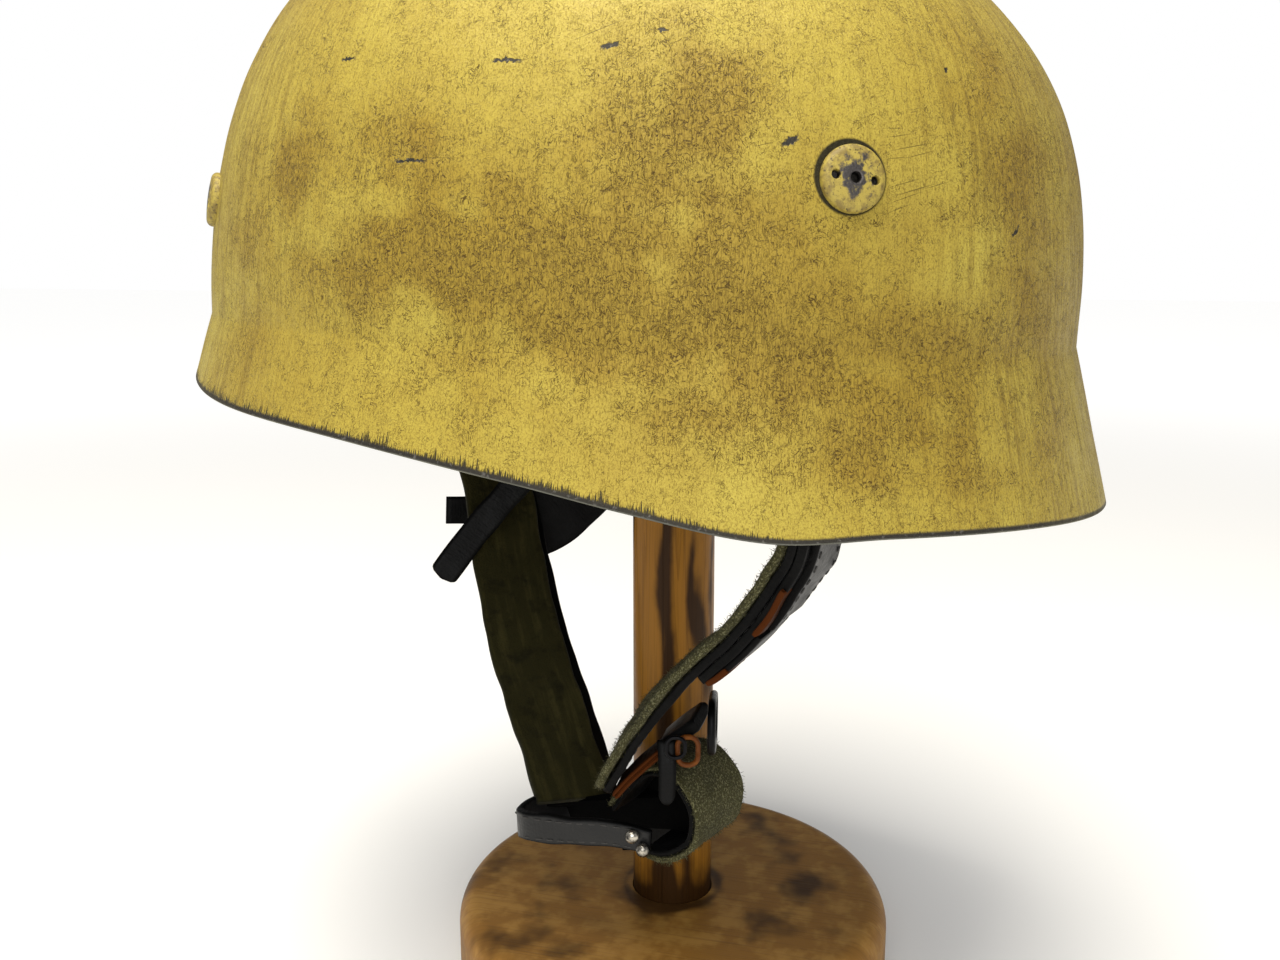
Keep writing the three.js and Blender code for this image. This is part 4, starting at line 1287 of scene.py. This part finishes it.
@dataclass
class Harness:
    """Straps, felts, loop and chin leather, with their stitches and loose fibres, and a sheet of painted
    shadow inside the loop.
    """

    form: ShellForm
    near: tuple[Station, ...] = (
        Station(0.801, 0.370, 0.753, -105, -5), Station(0.766, 0.332, 0.696, -100, -8),
        Station(0.707, 0.254, 0.612, -91, -13), Station(0.656, 0.149, 0.532, -82, -17),
        Station(0.595, 0.047, 0.434, -75, -21), Station(0.549, -0.044, 0.327, -73, -24),
        Station(0.534, -0.069, 0.295, -73, -25))
    far_front: tuple[Station, ...] = (
        Station(-0.469, -0.528, 0.668, 40, 0), Station(-0.326, -0.446, 0.543, 33, 0),
        Station(-0.119, -0.330, 0.414, 29, 0), Station(0.060, -0.215, 0.312, 36, 0),
        Station(0.161, -0.152, 0.254, 44, 0), Station(0.233, -0.111, 0.213, 50, 0))
    far_rear: tuple[Station, ...] = (
        Station(-0.674, -0.238, 0.660, -30, 58), Station(-0.647, -0.325, 0.600, 6, 72),
        Station(-0.594, -0.399, 0.547, 15, 72), Station(-0.548, -0.487, 0.508, 15, 72),
        Station(-0.515, -0.560, 0.492, 15, 78))
    loop: tuple[Station, ...] = (
        Station(0.413, -0.065, 0.252, -110, 0), Station(0.431, -0.022, 0.296, -110, 0),
        Station(0.454, 0.030, 0.330, -110, 0), Station(0.475, 0.080, 0.334, -110, 0),
        Station(0.493, 0.120, 0.312, -110, 0), Station(0.502, 0.143, 0.284, -110, 0),
        Station(0.499, 0.136, 0.237, -110, 0), Station(0.486, 0.104, 0.212, -110, 0),
        Station(0.469, 0.066, 0.198, -110, 0), Station(0.451, 0.025, 0.195, -110, 0))
    chin: tuple[Station, ...] = (
        Station(0.200, -0.125, 0.192, -75, 63), Station(0.296, -0.184, 0.192, -45, 66),
        Station(0.390, -0.234, 0.197, -30, 73), Station(0.456, -0.257, 0.197, 15, 84),
        Station(0.485, -0.240, 0.202, 0, 90), Station(0.498, -0.147, 0.207, 0, 90),
        Station(0.498, -0.045, 0.212, 0, 90), Station(0.496, 0.048, 0.207, 0, 90))
    chin_back: tuple[Station, ...] = (
        Station(0.187, -0.091, 0.115, 0, 90), Station(0.158, -0.012, 0.115, 0, 90),
        Station(0.132, 0.069, 0.115, 0, 90))
    buckle_strap: tuple[Station, ...] = (
        Station(0.545, -0.018, 0.306, -81, -7), Station(0.542, 0.036, 0.351, -81, -7),
        Station(0.540, 0.100, 0.391, -81, -6), Station(0.545, 0.172, 0.436, -82, -6))
    fold_lower: tuple[Station, ...] = (
        Station(-0.261, -0.446, 0.682, 15, 45), Station(-0.178, -0.559, 0.582, 15, 45),
        Station(-0.106, -0.637, 0.501, 15, 45))
    fold_upper: tuple[Station, ...] = (
        Station(-0.414, -0.581, 0.584, 0, 90), Station(-0.385, -0.657, 0.584, 0, 90),
        Station(-0.335, -0.738, 0.587, 0, 90))
    tongue: tuple[Station, ...] = (
        Station(0.564, 0.118, 0.415, 15, 0), Station(0.580, 0.123, 0.371, 15, 0),
        Station(0.580, 0.122, 0.318, 15, 0))
    # The painted shadow sheet inside the loop: two corners at the strap's fold, and how far in it reaches
    shadow_corners: tuple[tuple[float, float, float], ...] = ((0.30, -0.23, 0.18), (0.29, -0.26, 0.21))
    shadow_depth: float = 14.0
    strap: float = 26.0
    fold: float = 10.5
    leather: float = 2.4
    felt: float = 2.6
    thin: float = 1.6
    gap: float = 0.3
    inset: float = 7.1

    def build(self) -> None:
        """Makes every layer, from the wall inwards."""
        black, felt, suede = Leather().dress(), Felt().dress(), Suede().dress()
        # Painted shade: a darker, duller copy of the black leather for the straps that lie in shade
        painted_shade_leather = Leather("black_leather_painted_shade", "050505", "0e0d0d", "070707", 0.45, 0.0, 0.9, 0.11)
        painted_shade_leather = painted_shade_leather.dress()
        rawhide = Leather("raw_brown_leather", "281103", "4f2a09", "42200a", 0.62, 0.0, 1.1, 0.12).dress()
        near = Route.through(self.near, Route.clamped(self.form, 128, 0))
        far = Route.through(self.far_front, Route.clamped(self.form, -28, -22))
        rear = Route.through(self.far_rear, Route.clamped(self.form, -128, 25))
        loop = Route.through(self.loop)
        buckle = Route.through(self.buckle_strap)
        wall = [self.form.frame(a, k) for a, k in ((56, -0.05), (78, -0.2), (100, -0.3))]
        start = Route.clamped(self.form, 28, 55)
        side = Route(np.vstack([start.points, [here - out * self.inset for here, out, _, _ in wall]]),
                     np.vstack([start.widths, [-down for _, _, down, _ in wall]]))
        pitch = self.leather + self.gap
        w, t, fold = self.strap, self.leather, self.fold
        near_felt = Band("near_strap_felt", near, w, -self.gap - self.felt, -self.gap, 8 / 40, 1,
                         ("strap_rear_left_felt",), "olive_felt", 1.2, 0.2, 3, round_end=7)
        wrap = Band("loop_felt_wrap", loop, w, self.gap, self.gap + self.thin, 0, 1, ("loop_felt",),
                    "olive_felt", 0.8, 0.15, 11)
        leathers = [
            Band("near_strap_leather", near, w, 0, t, 0, 1, ("strap_rear_left_leather",), seed=2,
                 round_end=7),
            Band("near_second_layer", near, w - 1, pitch - 0.2, pitch + t, 13 / 40, 29 / 40,
                 ("strap_front_left_end",), seed=4, softness=0.5, shift=(0.6, 0.6), round_end=4),
            Band("adjuster_pocket_leather", near, 19, 2 * pitch - 0.3, 2 * pitch + t - 0.4, 13 / 40,
                 23.6 / 40, ("adjuster_pocket",), seed=5, softness=0.5, shift=(1.2, 3.0), taper=0.85),
            Band("adjuster_keeper", near, 17, 2 * pitch - 0.3, 2 * pitch + t - 0.9, 24 / 40, 28 / 40,
                 ("keeper",), seed=7, shift=(1.5, 0.5), round_end=5),
            Band("loop_leather_lining", loop, w, -self.thin, 0, 0, 1, ("loop_leather",), seed=12),
            Band("chin_strap_folded", Route.through(self.chin), fold, 0, t, 0, 1, ("chin_strip",), seed=13,
                 taper=0.72),
            Band("buckle_slide", buckle, 14, -0.5, t + 1.1, 0.56, 0.97, seed=21, softness=1.4, wave=0.2),
        ]
        for band in leathers:
            band.build(black)
        # These straps lie in shade and take the painted-shade copy of the black leather
        for band in (
                Band("far_band_leather", far, w, 0, t, 0, 1, ("strap_front_right_leather",), seed=8,
                     shift=(0, -4.2)),
                Band("far_rear_strap", rear, w, 0, t, 0, 1, ("strap_rear_right_leather",), seed=10),
                Band("chin_strap_back", Route.through(self.chin_back), 28, 0, t, 0, 1, ("chin_back",),
                     seed=14),
                Band("fastening_tongue", Route.through(self.tongue), 5.25, 0, t, 0, 1, ("tongue",), seed=18,
                     softness=1.1, wave=0.04, step=0.3, round_end=2.6, taper=0.85),
                Band("folded_end_lower", Route.through(self.fold_lower), fold, 0, t + 0.8, 0, 1,
                     ("fold_lower",), seed=16, softness=1.5, ply=0.7, round_end=2.5),
                Band("folded_end_upper", Route.through(self.fold_upper), fold, 0, t, 0, 1, ("fold_upper",),
                     seed=17, ply=0.6),
                Band("front_left_strap", side, w, 0, t, 0, 1, ("strap_front_left_leather",), seed=19)):
            band.build(painted_shade_leather)
        Band("adjuster_raw_lining", near, 12, 1.5 * pitch, 2 * pitch + 0.3, 20.6 / 40, 23.8 / 40,
             ("adjuster_lining",), "brown_leather", 0.5, 0.35, 6, shift=(-0.5, -0.9)).build(rawhide)
        Band("buckle_strap_raw", buckle, 13, 0, t, 0, 0.8, ("buckle_strap",), "brown_leather", seed=15,
             ply=0.7).build(rawhide)
        Band("adjuster_raw_corner", near, 11, 2 * pitch - 0.4, 2 * pitch + 1.4, 26.6 / 40, 28.2 / 40, (),
             "brown_leather", 0.5, 0.3, 26, shift=(0.8, 0.2)).build(rawhide)
        # Painted shadow: a near-black sheet that fills the shade inside the loop and behind the chin strap
        dark_inner = Leather("black_painted_shadow_sheet", "030303", "060606", "040404", 0.8, 0.0, 0.9, 0.03)
        self.loop_shadow_sheet(dark_inner.dress())
        near_felt.build(felt)
        wrap.build(felt)
        Band("far_band_suede", far, w, -self.gap - self.felt, -self.gap, 6 / 30, 1,
             ("strap_front_right_felt",), "olive_felt", 0.9, 0.2, 9).build(suede)
        for name, band, count, seed in (("near_felt_fuzz", near_felt, 5200, 5),
                                        ("loop_felt_fuzz", wrap, 3600, 6)):
            Fuzz(name, band, count, seed).build(felt)
        thread = Thread().dress()
        for name, place, inset in (("pocket_stitches", 2, 2.2), ("near_leather_stitches", 0, 2.0),
                                   ("chin_stitches", 5, 1.6)):
            Stitches(name, leathers[place], inset).build(thread)

    def loop_shadow_sheet(self, material: bpy.types.Material) -> None:
        """A black sheet of painted shadow that closes the loop behind and runs on behind the chin strap,
        where there is only shade.

        Its outline is the loop's inner face part of the way in, joined to two corners at the strap's fold.

        Args:
            material: its near-black finish.
        """
        here, _, across, face, _ = Route.through(self.loop).read(np.linspace(0.06, 1.0, 24))
        inner = here + across * self.shadow_depth - face * (self.thin + 0.1)
        corners = np.vstack([inner, [Route.place(*corner) for corner in self.shadow_corners]])
        out = Route.direction(15, 0) * 1.2
        middle = corners.mean(0)
        count = len(corners)
        points = np.vstack([corners, corners - out, middle, middle - out])
        here = np.arange(count)
        after = (here + 1) % count
        none = np.full(count, -1)
        front, back = np.full(count, 2 * count), np.full(count, 2 * count + 1)
        faces = np.vstack([np.stack([here, after, front, none], 1),
                           np.stack([after + count, here + count, back, none], 1),
                           np.stack([here, here + count, after + count, after], 1)])
        values = {"strap": points, "edge": np.zeros(len(points))}
        Piece("painted_loop_shadow", Skin(points, faces, values), material, (), "black_leather", 30).build()


@dataclass(frozen=True)
class Thread:
    """Waxed linen thread, grey with dust, twisted: a dull pale dash in the leather."""

    tone: str = "2e2c2a"
    dark: str = "232220"

    def dress(self) -> bpy.types.Material:
        """Makes the thread.

        Returns:
            The material.
        """
        s = Surface("waxed_grey_thread")
        twist = s.noise(s.place, 0.0004, 2, 0.5)
        colour = s.stain(self.tone, self.dark, twist, 0.4, 0.6)
        return s.finish(Base_Color=colour, Roughness=0.7, Normal=s.relief(twist, 0.0001))


@dataclass
class Stitches:
    """A row of stitches near both edges of a band's outer face.

    Each stitch is a capsule: a circle whose radius follows the root of a quartic along its length, laid
    along the strap and half sunk in its face.
    """

    name: str
    band: Band
    inset: float
    pitch: float = 3.4
    length: float = 2.3
    thick: float = 0.55

    def build(self, material: bpy.types.Material) -> None:
        """Makes the rows as one mesh.

        Args:
            material: the thread.
        """
        band = self.band
        total = band.route.read(np.array([0.0, 1.0]))[4]
        span = (band.last - band.first) * total
        count = int((span - 6) / self.pitch)
        middles = band.first + (3 + (np.arange(count) + 0.5) * self.pitch) / total
        grow = (middles - band.first) / (band.last - band.first)
        here, ahead, across, face, _ = band.route.read(middles)
        u = np.linspace(-1, 1, 7)
        a = circle(6)
        radius = self.thick / 2 * np.sqrt(1 - 0.94 * u**4)
        shift = np.interp(grow, [0, 1], band.shift)
        shrink = 1 + (band.taper - 1) * grow
        skins = []
        for side in (-1, 1):
            w = band.width / 2 + side * (band.width / 2 - self.inset) * shrink + shift
            base = here + across * w[:, None] + face * (band.high - 0.05)
            ring = across[:, None, None] * np.cos(a)[:, None] + face[:, None, None] * np.sin(a)[:, None]
            points = (base[:, None, None] + ahead[:, None, None] * (u * self.length / 2)[None, :, None, None]
                      + ring * radius[None, :, None, None])
            faces = grid_faces(len(u), len(a), closed_columns=True)
            caps = np.array([[0, 1, 2, 3], [0, 3, 4, 5]])
            one = np.vstack([faces, caps[:, ::-1], caps + (len(u) - 1) * len(a)])
            many = one[None] + (np.arange(count) * len(u) * len(a))[:, None, None]
            skins.append(Skin(points.reshape(-1, 3), many.reshape(-1, 4)))
        Piece(self.name, Skin.joined(skins), material, (), "black_leather", 60).build()


@dataclass
class Fuzz:
    """Loose fibres standing off a felt's faces and cut edges: bent three-sided hairs with a point."""

    name: str
    band: Band
    count: int
    seed: int
    length: float = 1.3
    thick: float = 0.17

    def build(self, material: bpy.types.Material) -> None:
        """Makes the fibres as one mesh.

        Args:
            material: the felt.
        """
        dice = np.random.default_rng(self.seed)
        skin = self.band.skin()
        quads = skin.faces[skin.faces[:, 3] >= 0]
        corners = skin.points[quads]
        upright = np.cross(corners[:, 1] - corners[:, 0], corners[:, 3] - corners[:, 0])
        normal, area = unit(upright), np.linalg.norm(upright, axis=1)
        rim = skin.values["edge"][quads].mean(1)
        chance = area * (0.25 + rim)
        pick = dice.choice(len(quads), self.count, p=chance / chance.sum())
        root = corners[pick].mean(1) + dice.normal(0, 0.25, (self.count, 3))
        lean = unit(normal[pick] * 0.55 + dice.normal(0, 0.55, (self.count, 3)))
        bend = unit(np.cross(lean, dice.normal(size=(self.count, 3))))
        other = np.cross(lean, bend)
        size = self.length * dice.uniform(0.4, 1.0, self.count)[:, None, None]
        u = np.linspace(0, 1, 4)[None, :, None]
        spine = root[:, None] + lean[:, None] * (u * size) + bend[:, None] * (0.45 * u**2 * size)
        a = circle(3)
        spoke = bend[:, None] * np.cos(a)[None, :, None] + other[:, None] * np.sin(a)[None, :, None]
        thin = self.thick / 2 * (1.05 - u[..., None]) ** 0.5
        points = spine[:, :, None] + spoke[:, None] * thin
        one = grid_faces(4, 3, closed_columns=True)
        one = np.vstack([one, [[2, 1, 0, -1], [9, 10, 11, -1]]])
        many = one[None] + (np.arange(self.count) * 12)[:, None, None]
        many[..., 3] = np.where(one[None, :, 3] < 0, -1, many[..., 3])
        strap = np.repeat(root, 12, axis=0)
        skin = Skin(points.reshape(-1, 3), many.reshape(-1, 4), {"strap": strap, "edge": np.ones(len(strap))})
        Piece(self.name, skin, material, (), "olive_felt", 180).build()


@dataclass
class Hardware:
    """The buckle's wire frame, the raw leather ring, the tongue's ring and the two studs."""

    wire: float = 2.4
    strap: float = 26.0
    bends: int = 96
    sides: int = 18
    stud_radius: float = 2.1
    stud_rise: float = 1.7
    stud_skirt: float = 0.2

    def wire_loop(self, centre: np.ndarray, first: np.ndarray, second: np.ndarray, half_first: float,
                  half_second: float, diameter: float) -> Skin:
        """Round wire bent to a rounded oblong: a circle carried along an oblong with round corners.

        Args:
            centre: the oblong's middle.
            first: its first direction.
            second: its second direction.
            half_first: half its length in the first direction.
            half_second: half its length in the second direction.
            diameter: the wire's.

        Returns:
            The wire's skin.
        """
        corner = min(half_first, half_second) * 0.92
        a = circle(self.bends)
        x = np.sign(np.cos(a)) * (half_first - corner) + np.cos(a) * corner
        y = np.sign(np.sin(a)) * (half_second - corner) + np.sin(a) * corner
        path = centre + x[:, None] * first + y[:, None] * second
        normal = unit(np.cross(first, second))
        outward = np.cos(a)[:, None] * first + np.sin(a)[:, None] * second
        b = circle(self.sides)[None, :, None]
        ring = (np.cos(b) * outward[:, None] + np.sin(b) * normal) * diameter / 2
        points = (path[:, None] + ring).reshape(-1, 3)
        row, column = np.divmod(np.arange(len(points)), self.sides)
        strap = np.stack([row * 0.6, column * 0.4, np.zeros(len(points))], 1)
        return Skin(points, grid_faces(self.bends, self.sides, True, True),
                    {"strap": strap, "edge": np.zeros(len(points))})

    def stud_skin(self, centre: np.ndarray, out: np.ndarray) -> Skin:
        """A domed stud: a quarter ellipse turned about its axis, with a short skirt.

        Args:
            centre: the middle of its foot.
            out: the way it faces.

        Returns:
            The stud's skin.
        """
        side = unit(np.cross(out, [0, 0, 1.0]))
        t = np.radians(np.linspace(88, 0, 16))
        dome = np.stack([np.cos(t) * self.stud_radius, np.sin(t) * self.stud_rise + self.stud_skirt], 1)
        profile = np.vstack([dome, [self.stud_radius, 0.0]])
        points = revolved(profile, 48, centre, (side, np.cross(side, out), out))
        skin = Skin(points.reshape(-1, 3), grid_faces(len(profile), 48, closed_columns=True)[:, ::-1])
        skin = skin.fan(np.arange(48), centre + out * (self.stud_rise + self.stud_skirt), True)
        return skin.fan(np.arange(48) + (len(profile) - 1) * 48, centre, False)

    def build(self) -> None:
        """Makes the frame, the two rings and the studs."""
        high = np.array([0, 0, 1.0])
        beside = Route.direction(-80, -15)
        upright = unit(np.cross(np.cross(beside, high), beside))
        black = BluedSteel("black_japanned_wire", "0e0e0f", 0.42).dress()
        bent = self.wire_loop(Route.place(0.414, 0.172, 0.414), beside, upright, self.strap / 2 + 3, 7,
                              self.wire)
        Piece("buckle_wire_frame", bent, black, ("buckle_frame",), "black_metal").build()
        raw = Leather("raw_brown_thong", "552b07", "8a5013", "63370c", 0.55, 0.0, 0.8, 0.15).dress()
        bent = self.wire_loop(Route.place(0.555, 0.142, 0.399), Route.direction(-165, 0), high, 2.9, 4.2, 1.5)
        Piece("raw_leather_ring", bent, raw, ("leather_ring",), "brown_leather").build()
        bent = self.wire_loop(Route.place(0.578, 0.120, 0.408), Route.direction(15, 0), high, 2.6, 3.0, 1.2)
        Piece("tongue_end_ring", bent, black, (), "black_metal").build()
        nickel = BluedSteel("nickelled_brass", "b4aea2", 0.24).dress()
        facing = Route.direction(105, 0)
        for name, up, along in (("upper", 0.244, 0.012), ("lower", 0.224, 0.037)):
            Piece(f"rivet_stud_{name}", self.stud_skin(Route.place(0.526, along, up), facing), nickel,
                  (f"stud_{name}",), "nickel").build()


# Stand

@dataclass(frozen=True)
class Burn:
    """A scorched streak on the post: bearing and half width in degrees, ends up the post, strength."""

    bearing: float
    half: float
    foot: float
    head: float
    strength: float


@dataclass
class Stand:
    """A turned pine post in a heavy round base, both scorched with a flame and varnished."""

    post_radius: float = 13.4
    foot: float = 20.3
    head: float = 342.2
    base_radius: float = 69.0
    bulge: float = 4.0
    thickness: float = STAND_TOP
    burns: tuple[Burn, ...] = (
        Burn(2, 12, 30, 340, 0.80), Burn(52, 15, 117, 143, 1.0), Burn(66, 10, 100, 122, 0.7),
        Burn(40, 6, 130, 165, 0.6), Burn(84, 9, 60, 200, 0.55), Burn(34, 7, 40, 112, 0.5),
        Burn(-76, 6, 30, 340, 0.6), Burn(150, 18, 30, 340, 0.7), Burn(215, 14, 60, 300, 0.6),
        Burn(280, 16, 30, 260, 0.7))
    socket_depth: float = 12.0
    post_spokes: int = 120
    base_spokes: int = 240

    def post_skin(self) -> Skin:
        """The post: a circle, a little uneven, carried up its height, with eased ends.

        Returns:
            The post's skin, with how scorched it is and its grain's coordinates.
        """
        count = self.post_spokes
        z = np.concatenate([[self.foot, self.foot + 0.4], np.linspace(self.foot + 1, self.head - 1, 240),
                            [self.head - 0.4, self.head]])
        ease = np.ones(len(z))
        ease[[0, -1]] = 0.965
        ease[[1, -2]] = 0.99
        zz, aa = np.meshgrid(z, circle(count), indexing="ij")
        swell = np.stack([np.cos(aa) * 13, np.sin(aa) * 13, zz * 0.2], -1).reshape(-1, 3)
        r = self.post_radius * ease[:, None] - 0.08 + 0.06 * ripple(swell, 6, 21).reshape(zz.shape)
        points = np.stack([r * np.cos(aa), r * np.sin(aa), zz], -1)
        bearing = np.degrees(aa)
        scorch = np.zeros_like(zz)
        drift = 6 * ripple(np.stack([zz.ravel(), bearing.ravel() * 0.1], 1), 30, 31).reshape(zz.shape)
        for burn in self.burns:
            off = (bearing + drift - burn.bearing + 180) % 360 - 180
            ends = 1 / (1 + np.exp(-(zz - burn.foot) / 6)) / (1 + np.exp((zz - burn.head) / 6))
            scorch += burn.strength * np.exp(-(off / burn.half) ** 2) * ends
        scorch += 0.9 * np.exp(-np.maximum(zz - 34, 0) / 9)
        grain = np.stack([aa * self.post_radius, zz, np.zeros_like(zz)], -1)
        skin = Skin(points.reshape(-1, 3), grid_faces(len(z), count, closed_columns=True),
                    {"scorch": scorch.ravel(), "grain": grain.reshape(-1, 3)})
        skin = skin.fan(np.arange(count), np.array([0, 0, self.foot]), False)
        return skin.fan(np.arange(count) + (len(z) - 1) * count, np.array([0, 0, self.head]), True)

    def base_skin(self) -> Skin:
        """The base: a rounded profile turned about the post, hollow where the post is let in.

        Returns:
            The base's skin, with how scorched it is and its grain's coordinates.
        """
        r0, b, h = self.base_radius, self.bulge, self.thickness
        floor, count = h - self.socket_depth, self.base_spokes
        socket = self.post_radius + 0.3
        turn = np.radians(np.linspace(90, 0, 14))
        top = np.stack([r0 - 3 + (b + 3) * np.cos(turn), h - 8 + 8 * np.sin(turn)], 1)
        turn = np.radians(np.linspace(0, -90, 10))
        low = np.stack([r0 - 1 + (b + 1) * np.cos(turn), 6 + 6 * np.sin(turn)], 1)
        disc = np.stack([np.linspace(socket, r0 - 3.5, 60), np.full(60, h)], 1)
        under = np.stack([np.linspace(r0 - 2, 1.0, 12), np.zeros(12)], 1)
        well = np.array([[1.0, floor], [socket, floor], [socket, h - 0.5]])
        profile = np.concatenate([well, disc, top, low, under])
        points = revolved(profile, count, np.zeros(3), np.eye(3)).reshape(-1, 3)
        ring = np.repeat(np.abs(profile[:, 0] - 16), count)
        scorch = 0.7 * np.exp(-ring / 4) * (points[:, 2] > h - 2)
        skin = Skin(points, grid_faces(len(profile), count, closed_columns=True)[:, ::-1],
                    {"scorch": scorch, "grain": points[:, [1, 0, 2]].copy()})
        skin = skin.fan(np.arange(count), np.array([0, 0, floor]), True)
        return skin.fan(np.arange(count) + (len(profile) - 1) * count, np.zeros(3), False)

    def build(self) -> None:
        """Makes the post and the base."""
        for name, skin, wood, solid in (("turned_post", self.post_skin(), Pine(), "stand_post"),
                                        ("turned_base", self.base_skin(), StainedPine(), "stand_base")):
            Piece(name, skin, wood.dress(), (solid,), "burnt_pine", 50).build()


@dataclass(frozen=True)
class Pine:
    """Varnished pine scorched with a flame: honey grain lines, dark burnt streaks and a satin gloss."""

    honey: str = "8c5f1c"
    late: str = "5a380e"
    char: str = "1f0e03"

    def dress(self) -> bpy.types.Material:
        """Makes the wood.

        Returns:
            The material.
        """
        s = Surface("scorched_varnished_pine")
        grain, scorch = s.attribute("grain", "Vector"), s.attribute("scorch")
        fibre = s.noise(s.scaled(grain, (1.3, 60.0, 1.0)), 1.0, 5, 0.6)
        ring = s.noise(s.scaled(grain, (5.0, 190.0, 1.0)), 1.0, 2, 0.4, 0.6)
        line = s.sum("FRACT", s.sum("MULTIPLY", ring, 6.0))
        late = s.window(line, 0.55, 0.98, 0, 0.35)
        colour = s.layer(self.honey, self.late, late)
        colour = s.stain(colour, self.late, fibre, 0.45, 0.70, 0.45)
        cloud = s.noise(s.scaled(grain, (6.5, 15.0, 1.0)), 1.0, 4, 0.5)
        burnt = s.window(s.sum("MULTIPLY_ADD", cloud, 0.75, s.sum("SUBTRACT", scorch, 0.36)), 0.12, 0.75)
        colour = s.layer(colour, self.char, s.sum("MULTIPLY", burnt, 0.93))
        bump = s.relief(s.sum("ADD", fibre, late), 0.00015)
        return s.finish(Base_Color=colour, Roughness=s.window(burnt, 0, 1, 0.38, 0.5), Normal=bump, IOR=1.45,
                        Specular_IOR_Level=0.15)


@dataclass(frozen=True)
class StainedPine:
    """Stained pine, rubbed and scorched in clouds: mid brown with soft dark islands and satin wax."""

    brown: str = "8a622b"
    pale: str = "b28845"
    veined: str = "5a3d1f"
    char: str = "2a180b"

    def dress(self) -> bpy.types.Material:
        """Makes the wood.

        Returns:
            The material.
        """
        s = Surface("scorched_stained_pine")
        grain, scorch = s.attribute("grain", "Vector"), s.attribute("scorch")
        fibre = s.noise(s.scaled(grain, (34.0, 0.9, 34.0), 24), 1.0, 4, 0.6)
        cloud = s.noise(s.place, 0.027, 3, 0.5)
        small = s.noise(s.place, 0.009, 3, 0.55)
        colour = s.stain(self.brown, self.pale, small, 0.42, 0.66, 0.55)
        colour = s.stain(colour, self.veined, fibre, 0.48, 0.72, 0.32)
        burnt = s.window(s.sum("ADD", cloud, s.sum("MULTIPLY", scorch, 0.4)), 0.51, 0.70, 0, 0.85)
        colour = s.layer(colour, self.char, burnt)
        bump = s.relief(fibre, 0.00012)
        return s.finish(Base_Color=colour, Roughness=0.5, Normal=bump, IOR=1.45, Specular_IOR_Level=0.15)


# Studio

@dataclass
class Studio:
    """A pale floor, two large soft lights and the camera, set where the object is seen from."""

    eye: tuple[float, float, float] = (0.3671, 0.0868, 0.2477)
    look: tuple[float, float, float] = (-0.9481, -0.2540, -0.1911)
    lens: float = 33.36
    air: float = 0.40
    floor: float = 6.0

    def soft_light(self, name: str, place: Sequence[float], at: Sequence[float], size: float, power: float,
                   tint: str = "ffffff") -> None:
        """Hangs one square soft light.

        Args:
            name: what it is called.
            place: where it hangs, in metres.
            at: what it points at.
            size: its side, in metres.
            power: watts.
            tint: its colour.
        """
        lamp = bpy.data.lights.new(name, "AREA")
        lamp.shape, lamp.size, lamp.energy = "SQUARE", size, power
        lamp.color = linear(tint)[:3]
        item = bpy.data.objects.new(name, lamp)
        aim = Vector(at) - Vector(place)
        item.location = place
        item.rotation_euler = aim.to_track_quat("-Z", "Y").to_euler()
        bpy.context.scene.collection.objects.link(item)

    def build(self) -> None:
        """Makes the floor, the lights, the background and the camera."""
        half = self.floor
        mesh = bpy.data.meshes.new("studio_floor")
        mesh.from_pydata([(-half, -half, 0), (half, -half, 0), (half, half, 0), (-half, half, 0)], [],
                         [(0, 1, 2, 3)])
        floor = bpy.data.objects.new("studio_floor", mesh)
        bpy.context.scene.collection.objects.link(floor)
        s = Surface("pale_paper_floor")
        away = add_node(s.tree, "VectorMath", {0: s.place}, operation="LENGTH").outputs["Value"]
        glow = s.window(away, 0.25, 2.2, 0.05, 0.62)
        mesh.materials.append(s.finish(Base_Color=linear("f4f3f0"), Roughness=0.9,
                                       Emission_Color=linear("ffffff"), Emission_Strength=glow))
        world = bpy.data.worlds.new("studio_air")
        world.use_nodes = True
        back = world.node_tree.nodes["Background"]
        back.inputs["Color"].default_value = linear("ffffff")
        seen = add_node(world.node_tree, "LightPath").outputs["Is Camera Ray"]
        strength = add_node(world.node_tree, "MapRange", {"Value": seen, "To Min": self.air, "To Max": 1.0})
        world.node_tree.links.new(strength.outputs[0], back.inputs["Strength"])
        bpy.context.scene.world = world
        self.soft_light("overhead_soft", (0.30, -0.10, 1.20), (0.02, 0.0, 0.25), 0.8, 20.0, "fffaf0")
        self.soft_light("side_soft", (1.25, 0.25, 0.65), (0.0, 0.0, 0.2), 0.8, 8.0)
        view = bpy.data.cameras.new("studio_camera")
        view.lens, view.sensor_width, view.sensor_fit = self.lens, 36.0, "HORIZONTAL"
        view.clip_start = 0.01
        camera = bpy.data.objects.new("studio_camera", view)
        camera.location = self.eye
        camera.rotation_euler = Vector(self.look).to_track_quat("-Z", "Y").to_euler()
        bpy.context.scene.collection.objects.link(camera)
        bpy.context.scene.camera = camera
        bpy.context.scene.view_settings.view_transform = "Standard"


def main() -> None:
    """Builds the studio, then the shell, its bolts, the harness, the hardware and the stand."""
    logging.basicConfig(level=logging.INFO, format="%(message)s")
    Studio().build()
    form = ShellForm()
    Shell(form).build()
    head, steel = BoltPaint().dress(), BluedSteel().dress()
    for name, azimuth, turn in (("front_left", 28, 20), ("front_right", -28, -35), ("rear_left", 128, 8),
                                ("rear_right", -128, 60)):
        SpannerBolt(name, azimuth, turn=turn).build(form, head, steel)
    Harness(form).build()
    Hardware().build()
    Stand().build()


if __name__ == "__main__":
    main()
